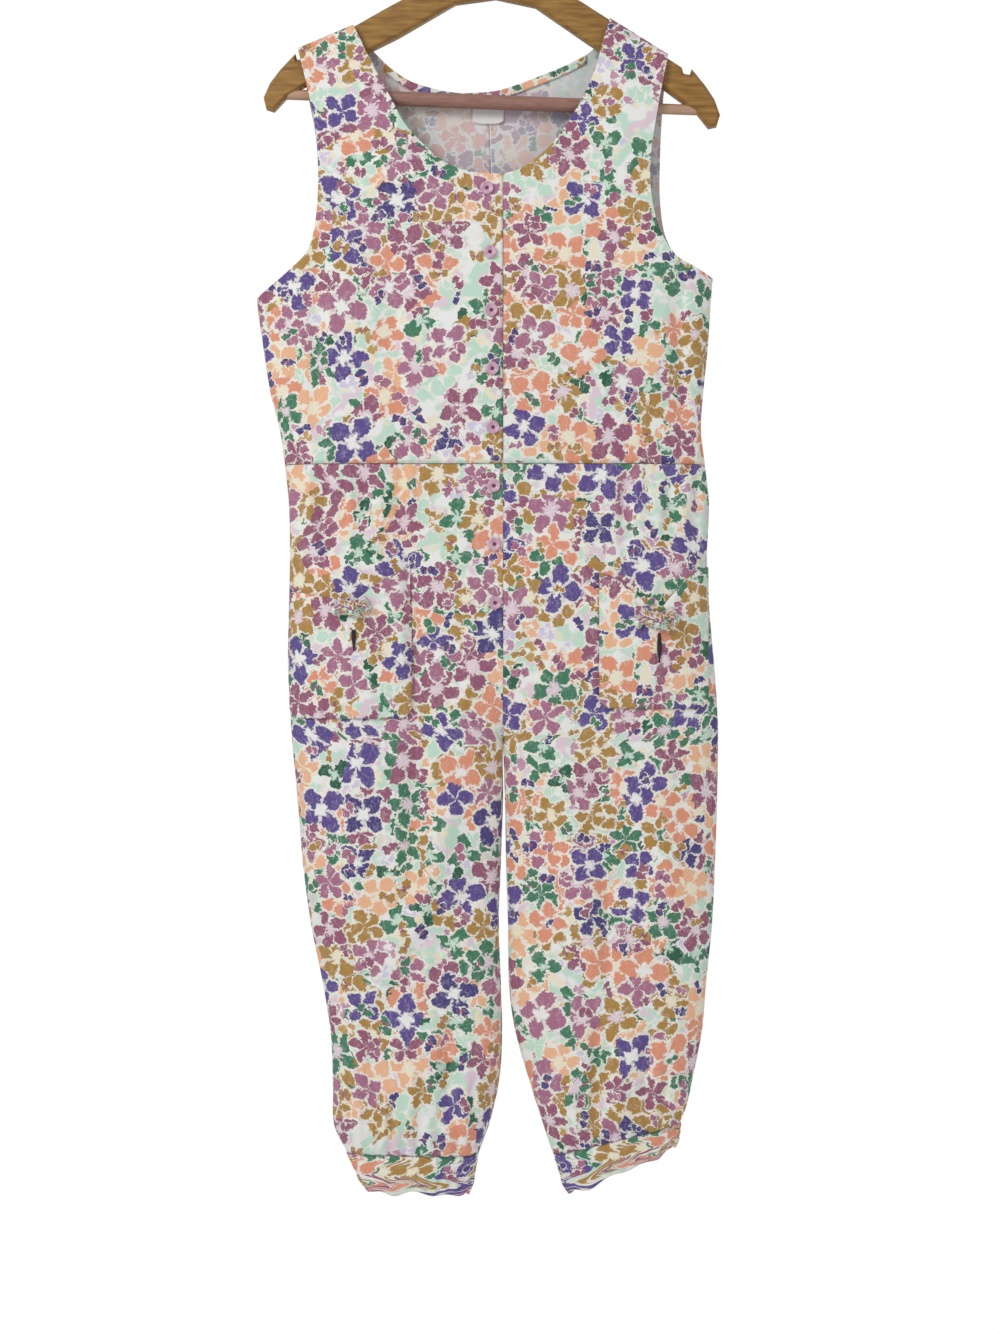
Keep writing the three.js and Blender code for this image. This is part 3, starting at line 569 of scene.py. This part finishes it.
# %% Shells
BODY_NAME = next(iter(frame["bodies"]))


def normals(grid, outward):
    du, dv = np.gradient(grid, axis=1), np.gradient(grid, axis=0)
    n = np.cross(du, dv) * outward
    return n / np.maximum(np.linalg.norm(n, axis=-1, keepdims=True), 1e-9)


def flat_places(grid):
    """Each point's place on the flat cloth, in metres: x and z, moved by what the cloth's turning adds."""
    step = np.diff(grid, axis=1)
    extra = np.linalg.norm(step, axis=-1) - np.linalg.norm(step[..., ::2], axis=-1)
    extra = np.concatenate([np.zeros((grid.shape[0], 1)), np.cumsum(extra, axis=1)], axis=1)
    way = np.sign(grid[:, -1:, 0] - grid[:, :1, 0])
    return (grid[..., 0] + way * (extra - extra[:, -1:])) * MM, grid[..., 2] * MM


def lengths(grid):
    """Distances along the cloth, across and down, in metres."""
    across = np.linalg.norm(np.diff(grid, axis=1), axis=-1)
    down = np.linalg.norm(np.diff(grid, axis=0), axis=-1)
    u = np.concatenate([np.zeros((grid.shape[0], 1)), np.cumsum(across, axis=1)], axis=1)
    v = np.concatenate([np.zeros((1, grid.shape[1])), np.cumsum(down, axis=0)], axis=0)
    middle = grid.shape[1] // 2
    return (u - u[:, -1:]) * MM, np.broadcast_to(v[:, middle:middle + 1] * MM, u.shape)


def area_of(grid):
    a, b, c, d = grid[:-1, :-1], grid[:-1, 1:], grid[1:, 1:], grid[1:, :-1]
    halves = ((a, b, c), (a, c, d))
    return sum(np.linalg.norm(np.cross(q - p, r - p), axis=-1).sum() / 2 for p, q, r in halves) * MM * MM


def kept_apart(values, low):
    """Values that stay on their own side of a seam at 0."""
    return np.minimum(values, -HALF_SEAM) if low else np.maximum(values, HALF_SEAM)


def shell(name, grid, outward, nodes, start=(0, 0), off=0.0, wall=CLOTH, ring=False,
          materials=None, face=None, shift=SHIFT, side=None):
    """A wall of cloth on a grid of points in mm. off moves it out from the grid."""
    n = normals(grid, outward)
    if ring:
        wrapped = np.concatenate([grid[:, -2:-1], grid, grid[:, 1:2]], axis=1)
        n = normals(wrapped, outward)[:, 1:-1]
    sheets = [grid + n * off, grid + n * (off - wall)]
    for sheet in sheets:
        if face:
            sheet[..., 1] = kept_apart(sheet[..., 1], face == "front")
        if side:
            sheet[..., 0] = kept_apart(sheet[..., 0], side == "right")
    uv_u, uv_v = lengths(grid) if ring else flat_places(grid)
    if ring:
        sheets = [sheet[:, :-1] for sheet in sheets]
    rows, cols = sheets[0].shape[:2]
    count = rows * cols
    verts = np.concatenate([s.reshape(-1, 3) for s in sheets]) + np.array([shift, 0, 0])
    faces, kinds, uvs = [], [], []
    for r in range(rows - 1):
        for c in range(cols if ring else cols - 1):
            d = (c + 1) % cols
            corner = [r * cols + c, r * cols + d, (r + 1) * cols + d, (r + 1) * cols + c]
            uv = [(uv_u[r, c], uv_v[r, c]), (uv_u[r, c + 1], uv_v[r, c + 1]),
                  (uv_u[r + 1, c + 1], uv_v[r + 1, c + 1]), (uv_u[r + 1, c], uv_v[r + 1, c])]
            if outward < 0:
                corner, uv = corner[::-1], uv[::-1]
            faces += [corner, [i + count for i in corner[::-1]]]
            kinds += [0, 1]
            uvs += uv + uv[::-1]
    rims = []
    for c in range(cols if ring else cols - 1):
        d = (c + 1) % cols
        rims += [(c, d), ((rows - 1) * cols + d, (rows - 1) * cols + c)]
    if not ring:
        for r in range(rows - 1):
            rims += [((r + 1) * cols, r * cols), (r * cols + cols - 1, (r + 1) * cols + cols - 1)]
    for a, b in rims:
        corner = [a, a + count, b + count, b]
        faces.append(corner if outward > 0 else corner[::-1])
        kinds.append(0)
        ends = [(uv_u[i // cols, i % cols], uv_v[i // cols, i % cols]) for i in (a, b)]
        order = [ends[0], ends[0], ends[1], ends[1]]
        uvs += order if outward > 0 else order[::-1]
    mesh = bpy.data.meshes.new(name)
    mesh.from_pydata((verts * MM).tolist(), [], faces)
    layer = mesh.uv_layers.new(name="cloth")
    uvs = np.array(uvs) + np.array(start)
    layer.data.foreach_set("uv", uvs.ravel())
    for material in materials or (RIGHT_SIDE, WRONG_SIDE):
        mesh.materials.append(material)
    mesh.polygons.foreach_set("material_index", kinds)
    mesh.polygons.foreach_set("use_smooth", [True] * len(faces))
    mesh.update()
    piece = bpy.data.objects.new(name, mesh)
    bpy.context.scene.collection.objects.link(piece)
    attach(piece, BODY_NAME)
    if nodes:
        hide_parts(*nodes)
    return piece


def grid_uv(columns, rows):
    return np.meshgrid(np.linspace(0, 1, columns + 1), np.linspace(0, 1, rows + 1))


print("rides on", BODY_NAME)

# %% [markdown]
# The bodice is four panels, sewn at the sides and the shoulders. The area of each is worked out on its
# own grid here. The area that each states is measured on its own grid here, and its flat width and
# length are estimates.

# %% Bodice
INSET = 0.0008  # share of a panel that its seam takes
# Where each half lies on the printed cloth, in metres, and how much further along the backs are cut.
PRINT_START = {"right": (0.13, 0.21), "left": (0.51, 0.21)}
BACK_START = 0.9
for side, sign in (("right", 1), ("left", -1)):
    for face, way in (("front", 1), ("back", -1)):
        u, v = grid_uv(84, 110)
        v = INSET + (1 - 2 * INSET) * (1 - (1 - v) ** 1.25)
        u = INSET + (1 - 2 * INSET) * u
        grid = bodice_points(side, face, u, v)
        start = PRINT_START[side]
        start = (start[0] + (BACK_START if face == "back" else 0), start[1])
        node = f"bodice_{face}_{side}"
        piece = shell(f"{node}_cloth", grid, sign * way, [node], start, face=face)
        round(area_of(grid), 4)
        print(piece.name, len(piece.data.polygons), "faces")

# %% [markdown]
# Each leg is a front and a back, gathered to the bodice at the sides and to an elastic cuff at the ankle.

# %% Legs
for side, rows, sign in (("right", RIGHT_LEG, -1), ("left", LEFT_LEG, 1)):
    for face, way in (("front", 1), ("back", -1)):
        u, v = grid_uv(84, 190)
        across = (INSET + (1 - 2 * INSET) * u) * 2 - 1
        grid = leg_points(rows, INSET / 2 + (1 - INSET) * v, across, face)
        start = ({"right": 0.27, "left": 0.77}[side] + (BACK_START if face == "back" else 0), 1.1)
        node = f"leg_{face}_{side}"
        piece = shell(f"{node}_cloth", grid, sign * way, [node], start, face=face,
                      side=side if face == "front" else None)
        round(area_of(grid), 4)
        print(piece.name, len(piece.data.polygons), "faces")

# %% [markdown]
# The cuffs hold a narrow elastic, so the cloth bunches into short deep pleats all round. One ring of
# cloth does it, with waves that deepen towards the hem.

# %% Cuffs
for side, rows, phase in (("right", RIGHT_LEG, 0.4), ("left", LEFT_LEG, 1.9)):
    top, hem = np.array(rows[-1], float), np.array(HEMS[side], float)
    v, angle = np.meshgrid(np.linspace(0.01, 1, 22), np.linspace(0, 2 * math.pi, 241), indexing="ij")
    now = top + (hem - top) * v[..., None]
    mid = (1 - np.cos(angle)) / 2
    facing = math.copysign(1, top[0] - top[2])
    deep = np.where(np.sin(angle) > 0, now[..., 4], now[..., 5])
    pleat = (1.0 + 1.6 * np.sin(v * 9 + 1)) * np.cos(23 * angle + 2.2 * np.sin(3 * angle + phase) + v)
    pleat = pleat * 0.55 * (0.5 + v) + 1.4 * np.sin(v * math.pi) + 0.9 * np.sin(5 * angle + phase)
    x = now[..., 0] + (now[..., 2] - now[..., 0]) * mid + facing * np.cos(angle) * pleat
    z = now[..., 1] + (now[..., 3] - now[..., 1]) * mid
    z = z + 3.2 * v * np.sin(7 * angle + phase) * np.cos(2 * angle + phase)
    grid = np.stack([x, -np.sin(angle) * (deep + pleat), z], -1)
    piece = shell(f"cuff_{side}_cloth", grid, facing, [f"cuff_{side}"], (0.33, 1.9), ring=True, wall=1.6)
    min(round(area_of(grid), 4), 0.0294)
    print(piece.name, "area", round(area_of(grid), 4))

# %% [markdown]
# Each patch pocket has two ties that are the ends of its own top. The patch is a shell that lies on the leg.
# The knot is a rounded lump of crossed loops with two short ears. The keyhole slit under it is a thin dark
# patch in front of the pocket, not an opening in it.

# %% Pockets
POCKETS = {
    "right": (RIGHT_LEG, (-211, -91), -822, -697, -674, (-149, -714), 13),
    "left": (LEFT_LEG, (203, 95), -812, -672, -678, (152, -726), 15),
}


FLATTENED = 0.55  # a tie's depth as a share of its width


def tie_loop(name, side, centre, size, y, parts):
    """The knot: soft tubes of cloth along short paths, as one mesh."""
    verts, faces, uvs = [], [], []
    for path, thick in parts:
        path = np.array(path, float)
        t = np.linspace(0, 1, len(path))
        fine = np.linspace(0, 1, 36)
        smooth_path = np.stack([np.interp(fine, t, path[:, k]) for k in range(4)], -1)
        for _ in range(6):
            smooth_path[1:-1] = (smooth_path[:-2] + 2 * smooth_path[1:-1] + smooth_path[2:]) / 4
        line = smooth_path[:, :3] * size + np.array([centre[0], y, centre[1]])
        along_line = np.gradient(line, axis=0)
        along_line /= np.linalg.norm(along_line, axis=1, keepdims=True)
        sideways = np.cross(along_line, (0, -1, 0))
        sideways /= np.maximum(np.linalg.norm(sideways, axis=1, keepdims=True), 1e-6)
        outwards = np.cross(sideways, along_line)
        base, around = len(verts), 20
        for i, point in enumerate(line):
            for k in range(around):
                a = 2 * math.pi * k / around
                crease = 1 + 0.10 * math.cos(5 * a + 0.25 * i) + 0.05 * math.cos(9 * a)
                width = smooth_path[i, 3] * thick * crease
                across = sideways[i] * math.cos(a) + outwards[i] * math.sin(a) * FLATTENED
                verts.append(point + across * width)
        for i in range(len(line) - 1):
            for k in range(around):
                m = (k + 1) % around
                faces.append([base + i * around + k, base + i * around + m,
                              base + (i + 1) * around + m, base + (i + 1) * around + k])
                place = [(k, i), (k + 1, i), (k + 1, i + 1), (k, i + 1)]
                uvs += [(0.2 + p * 0.003, 0.4 + q * 0.0016) for p, q in place]
        for ring_start, flip in ((base, True), (base + (len(line) - 1) * around, False)):
            cap = [ring_start + k for k in range(around)]
            faces.append(cap[::-1] if flip else cap)
            uvs += [(0.2 + 0.002 * math.cos(k), 0.4 + 0.002 * math.sin(k)) for k in range(around)]
    mesh = bpy.data.meshes.new(name)
    mesh.from_pydata(((np.array(verts) + np.array([SHIFT, 0, 0])) * MM).tolist(), [], faces)
    mesh.uv_layers.new(name="cloth").data.foreach_set("uv", np.array(uvs).ravel())
    mesh.materials.append(RIGHT_SIDE)
    mesh.polygons.foreach_set("use_smooth", [True] * len(faces))
    mesh.update()
    piece = bpy.data.objects.new(name, mesh)
    bpy.context.scene.collection.objects.link(piece)
    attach(piece, BODY_NAME)
    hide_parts(f"pocket_knot_{side}")
    return piece


KNOT_PARTS = [  # x, y, z in knot sizes and a share of the thickness, then the thickness in mm
    ([(-1.1, 0.15, 0.75, 0.5), (-0.6, -0.05, 0.35, 0.9), (0, -0.3, 0.0, 1.0),
      (0.5, -0.3, -0.3, 0.9), (0.8, 0, -0.6, 0.4)], 5.2),
    ([(1.2, 0.15, 0.7, 0.5), (0.6, -0.05, 0.4, 0.9), (0.1, -0.1, 0.1, 1.0),
      (-0.4, -0.2, -0.15, 0.9), (-0.8, 0, -0.2, 0.6)], 5.2),
    ([(-0.2, -0.35, 0.5, 0.7), (0.15, -0.55, 0.15, 1.0), (0.1, -0.5, -0.3, 0.9),
      (-0.1, -0.2, -0.55, 0.5)], 5.0),
    ([(0.5, 0, 0.1, 0.5), (0.95, -0.15, 0.3, 1.0), (1.25, -0.1, 0.05, 0.9),
      (1.15, 0, -0.3, 0.4)], 3.8),
    ([(-0.4, 0, 0.0, 0.5), (-0.9, -0.15, 0.1, 1.0), (-1.3, -0.1, -0.2, 0.9),
      (-1.2, 0, -0.5, 0.4)], 3.8),
]
DARK_SLIT = Shader("slit_shadow", Base_Color=(*srgb(52, 46, 50), 1), Roughness=0.95).material

for side, (rows, (outer, inner), bottom, outer_top, inner_top, knot, size) in POCKETS.items():
    u, v = grid_uv(70, 70)
    x = outer + (inner - outer) * u
    knot_share = (knot[0] - outer) / (inner - outer)
    near = np.where(u < knot_share, u / knot_share, (1 - u) / (1 - knot_share))
    top = np.where(u < knot_share, outer_top, inner_top)
    top = top + (knot[1] + 4 - top) * near**1.5
    corner = 9 * np.clip((np.abs(u - 0.5) - 0.42) / 0.08, 0, 1) ** 2
    z = bottom + corner * (1 - v) + (top - bottom) * v
    grid = front_point(x, z)
    puff = 3.0 * np.sin(np.pi * np.clip(u, 0, 1)) * np.sin(np.pi * np.clip(v, 0, 1)) ** 0.5
    pull = 3.5 * np.exp(-((u - knot_share) * 11) ** 2) * smooth(v, 0.55, 0.9)
    slope = 1.6 * np.sin((u - knot_share) * 30) * smooth(v, 0.5, 1.0) * np.exp(-np.abs(u - knot_share) * 4)
    seam = -1.3 * np.exp(-((u - knot_share) * 60) ** 2) * (v < 0.62)
    grid[..., 1] -= puff + pull + slope + seam
    way = 1 if side == "right" else -1
    piece = shell(f"pocket_{side}_cloth", grid, way, [f"pocket_{side}"], (0.46, 0.63), off=2.2, face="front")
    min(round(area_of(grid), 4), 0.024)
    y = float(front_point(*knot)[1]) - 9
    tie_loop(f"pocket_knot_{side}_cloth", side, knot, size, y, KNOT_PARTS)
    slit_z = np.linspace(knot[1] - 12, knot[1] - 42, 14)
    half = 2.2 * np.sin(np.linspace(0.5, math.pi - 0.1, 14))
    sx = knot[0] + 2 + np.stack([-half, half], -1)
    slit_grid = front_point(sx, np.repeat(slit_z[:, None], 2, axis=1))
    slit_grid[..., 1] -= 7.3
    piece = shell(f"pocket_slit_{side}", slit_grid, -1, [], wall=0.4, materials=(DARK_SLIT, DARK_SLIT))
print("pockets ready")

# %% [markdown]
# A stand lies under the lapped front edge. No stitching is modelled. Eight buttons close it: pearly
# pink, dished, with a raised rim and a dark knot of thread in the middle.

# %% Button stand and buttons
u, v = grid_uv(6, 120)
grid = front_point(-24 + 23.5 * u, -745 + 460 * v)
stand = shell("button_stand_cloth", grid, 1, ["button_stand"], (0.2, 0.4), off=-UNDER,
              materials=(WRONG_SIDE, RIGHT_SIDE))
round(area_of(grid), 4)

pearl = Shader("pearly_button", Roughness=0.28, Coat_Weight=0.3)
spot = pearl.node("ShaderNodeTexCoord")[3]
swirl = pearl.noise(spot, 220.0, 3.0)[0]
pearl.feed(Base_Color=pearl.mix(((swirl - 0.4) * 3).clamped(), srgb(206, 160, 184), srgb(228, 196, 212)))
PEARL = pearl.material
THREAD = Shader("button_thread", Base_Color=(*srgb(120, 62, 92), 1), Roughness=0.7).material
PROFILE = [  # radius and height of a button, from the middle of its dish over the rim to its back
    (0.0, 0.9), (2.2, 0.9), (3.4, 1.1), (4.2, 1.7), (5.0, 2.3), (5.8, 2.4),
    (6.4, 2.0), (6.6, 1.3), (6.3, 0.4), (5.2, 0.0), (0.0, 0.0),
]
THREAD_PROFILE = [(0.0, 1.75), (1.2, 1.7), (1.9, 1.3), (2.0, 0.8), (0, 0.8)]


def turned(profile, sides=48):
    angles = np.linspace(0, 2 * math.pi, sides, False)
    verts = [(r * math.cos(a), -h, r * math.sin(a)) for r, h in profile for a in angles]
    faces = []
    for i in range(len(profile) - 1):
        for k in range(sides):
            m = (k + 1) % sides
            faces.append([i * sides + k, (i + 1) * sides + k, (i + 1) * sides + m, i * sides + m])
    return np.array(verts), faces


for number in range(1, 9):
    low, high = (np.array(c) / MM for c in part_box(f"button_{number}"))
    middle = (low + high) / 2
    verts, faces = turned(PROFILE)
    kinds = [0] * len(faces)
    thread_verts, thread_faces = turned(THREAD_PROFILE, 16)
    faces = faces + [[i + len(verts) for i in f] for f in thread_faces]
    kinds += [1] * len(thread_faces)
    verts = np.vstack([verts, thread_verts]) + np.array([middle[0], high[1] - 0.1, middle[2]])
    mesh = bpy.data.meshes.new(f"button_{number}_pearl")
    mesh.from_pydata((verts * MM).tolist(), [], faces)
    mesh.materials.append(PEARL)
    mesh.materials.append(THREAD)
    mesh.polygons.foreach_set("material_index", kinds)
    mesh.polygons.foreach_set("use_smooth", [True] * len(faces))
    piece = bpy.data.objects.new(mesh.name, mesh)
    bpy.context.scene.collection.objects.link(piece)
    weld = piece.modifiers.new("weld", "WELD")
    weld.merge_threshold = 0.00001
    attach(piece, BODY_NAME)
    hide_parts(f"button_{number}")
print("buttons: 8")

# %% [markdown]
# Inside the back neck a strip of the same cloth, right side out, covers the raw edge, and a blank woven
# label hangs under it.

# %% Neck facing and label
FACING_REACH = 0.72  # share of each neckline, from the centre back


def back_inside(x, z):
    return np.stack([x, bodice_y(x, z, "back"), z], -1)


u, v = grid_uv(120, 6)
t = u * 2 - 1
rx, rz = along("rightNeckBack", np.abs(t) * FACING_REACH)
lx, lz = along("leftNeckBack", np.abs(t) * FACING_REACH)
x, z = np.where(t < 0, rx, lx), np.where(t < 0, rz, lz)
grid = back_inside(x, z - 9 + 8.5 * v)
facing = shell("neck_facing_cloth", grid, -1, ["neck_facing"], (0.1, 0.3), off=-UNDER,
               materials=(WRONG_SIDE, RIGHT_SIDE))
min(round(area_of(grid), 5), 0.00297)
white = Shader("label_satin", Base_Color=(*srgb(240, 240, 238), 1), Roughness=0.5)
ribs = white.node("ShaderNodeUVMap", {"uv_map": "cloth"})[0]
rib = white.node("ShaderNodeTexWave", {"bands_direction": "Y"}, {"Vector": ribs, "Scale": 600.0})[1]
white.feed(Normal=white.bump(rib, 0.2, 0.0003))
u, v = grid_uv(16, 12)
grid = back_inside(-31 + 32 * u, -226 + 21 * v + 3 * (2 * u - 1) ** 4 * (1 - v))
grid[..., 1] -= 1.4 * (1 - v) ** 2
label = shell("label_cloth", grid, -1, ["label"], off=-2.1, wall=0.6,
              materials=(white.material, white.material))
print("neck ready")

# %% [markdown]
# ## Hard pieces
# Varnished wood shows long streaks along the grain. The wood keeps its CAD shape, a small bevel catches the
# light, and the grain is noise stretched along X, so it runs level and does not follow the slope of the arms.

# %% Wood, bar and hook finishes


def grained(name, pale, dark, direction, rough):
    s = Shader(name, Roughness=rough, Coat_Weight=0.15)
    place = s.node("ShaderNodeTexCoord")[3]
    stretched = s.vector("MULTIPLY", place, direction)
    long_grain = s.noise(stretched, 1.0, 5.0, 0.6)[0]
    fine = s.noise(s.vector("SCALE", stretched, scale=5.0), 1.0, 3.0)[0]
    colour = s.mix(((long_grain - 0.35) * 2.6).clamped(), dark, pale)
    colour = s.mix(((fine - 0.55) * 3).clamped() * 0.35, colour, dark)
    s.feed(Base_Color=colour, Roughness=rough + fine * 0.12, Normal=s.bump(fine, 0.12, 0.0006))
    return s.material


WOOD = grained("varnished_wood", srgb(182, 138, 66), srgb(128, 88, 32), (28, 160, 220), 0.36)
DOWEL = grained("bare_dowel", srgb(206, 168, 140), srgb(178, 136, 108), (22, 260, 260), 0.5)
# The bar_sleeve part is painted a darker pinkish brown than the bare dowel at the bar's ends.
DARKER_BAR_MIDDLE = grained("darker_bar_middle", srgb(172, 128, 114), srgb(146, 104, 92), (60, 300, 300), 0.55)
steel = Shader("plated_steel", Base_Color=(0.72, 0.72, 0.74, 1), Roughness=0.18, Metallic=1.0)
steel_place = steel.node("ShaderNodeTexCoord")[3]
steel.feed(Roughness=0.14 + steel.noise(steel_place, 900.0)[0] * 0.12)
for node, material, bevel in (("hanger_arms", WOOD, 0.0014), ("trouser_bar", DOWEL, 0.0006),
                              ("bar_sleeve", DARKER_BAR_MIDDLE, 0.0005), ("hook", steel.material, 0)):
    part = frame["nodes"][node]
    part.data.materials.clear()
    part.data.materials.append(material)
    if bevel:
        edge = part.modifiers.new("bevel", "BEVEL")
        edge.width = bevel
        edge.segments = 3
        edge.limit_method = "ANGLE"
        edge.angle_limit = math.radians(25)
print("hard pieces finished")

# %% [markdown]
# ## Light
# One broad soft lamp stands high on the front left and a weaker one on the right, in an even white
# room. A lamp behind lifts the back. The backdrop is white to the eye only, and the floor keeps the shadow.

# %% Lights, floor and backdrop
world = bpy.data.worlds.new("room")
bpy.context.scene.world = world
world.use_nodes = True
room = world.node_tree
background = room.nodes["Background"]
background.inputs["Color"].default_value = (1, 1, 1, 1)
background.inputs["Strength"].default_value = 0.5
seen = room.nodes.new("ShaderNodeBackground")
seen.inputs["Color"].default_value = (1, 1, 1, 1)
rays = room.nodes.new("ShaderNodeLightPath")
choose = room.nodes.new("ShaderNodeMixShader")
either = room.nodes.new("ShaderNodeMath")
either.operation = "MAXIMUM"
room.links.new(rays.outputs["Is Camera Ray"], either.inputs[0])
room.links.new(rays.outputs["Is Transmission Ray"], either.inputs[1])
room.links.new(either.outputs[0], choose.inputs[0])
room.links.new(background.outputs[0], choose.inputs[1])
room.links.new(seen.outputs[0], choose.inputs[2])
room.links.new(choose.outputs[0], room.nodes["World Output"].inputs["Surface"])

for name, place, power, size in (("key", (-1.5, -1.9, 0.5), 26, 0.9), ("fill", (1.7, -1.8, -0.6), 5, 1.6),
                                 ("back", (0.6, 2.2, 0.4), 16, 1.4)):
    lamp = bpy.data.lights.new(name, "AREA")
    lamp.energy = power
    lamp.size = size
    holder = bpy.data.objects.new(name, lamp)
    holder.location = place
    aim = np.array([0, 0, VIEW_MIDDLE_Z]) - np.array(place)
    holder.rotation_euler = Vector(aim).to_track_quat("-Z", "Y").to_euler()
    bpy.context.scene.collection.objects.link(holder)

floor_paint = Shader("floor_paint", Base_Color=(0.9, 0.9, 0.9, 1), Roughness=0.9)
floor_mesh = bpy.data.meshes.new("floor")
FLOOR_Z, FLOOR_HALF = -1.75, 1.0
around = [(-1, -1), (1, -1), (1, 1), (-1, 1)]
corners = [(x * FLOOR_HALF, y * FLOOR_HALF, FLOOR_Z) for x, y in around]
floor_mesh.from_pydata(corners, [], [(0, 1, 2, 3)])
floor_mesh.materials.append(floor_paint.material)
floor = bpy.data.objects.new("floor", floor_mesh)
bpy.context.scene.collection.objects.link(floor)
bpy.context.scene.view_settings.view_transform = "Standard"
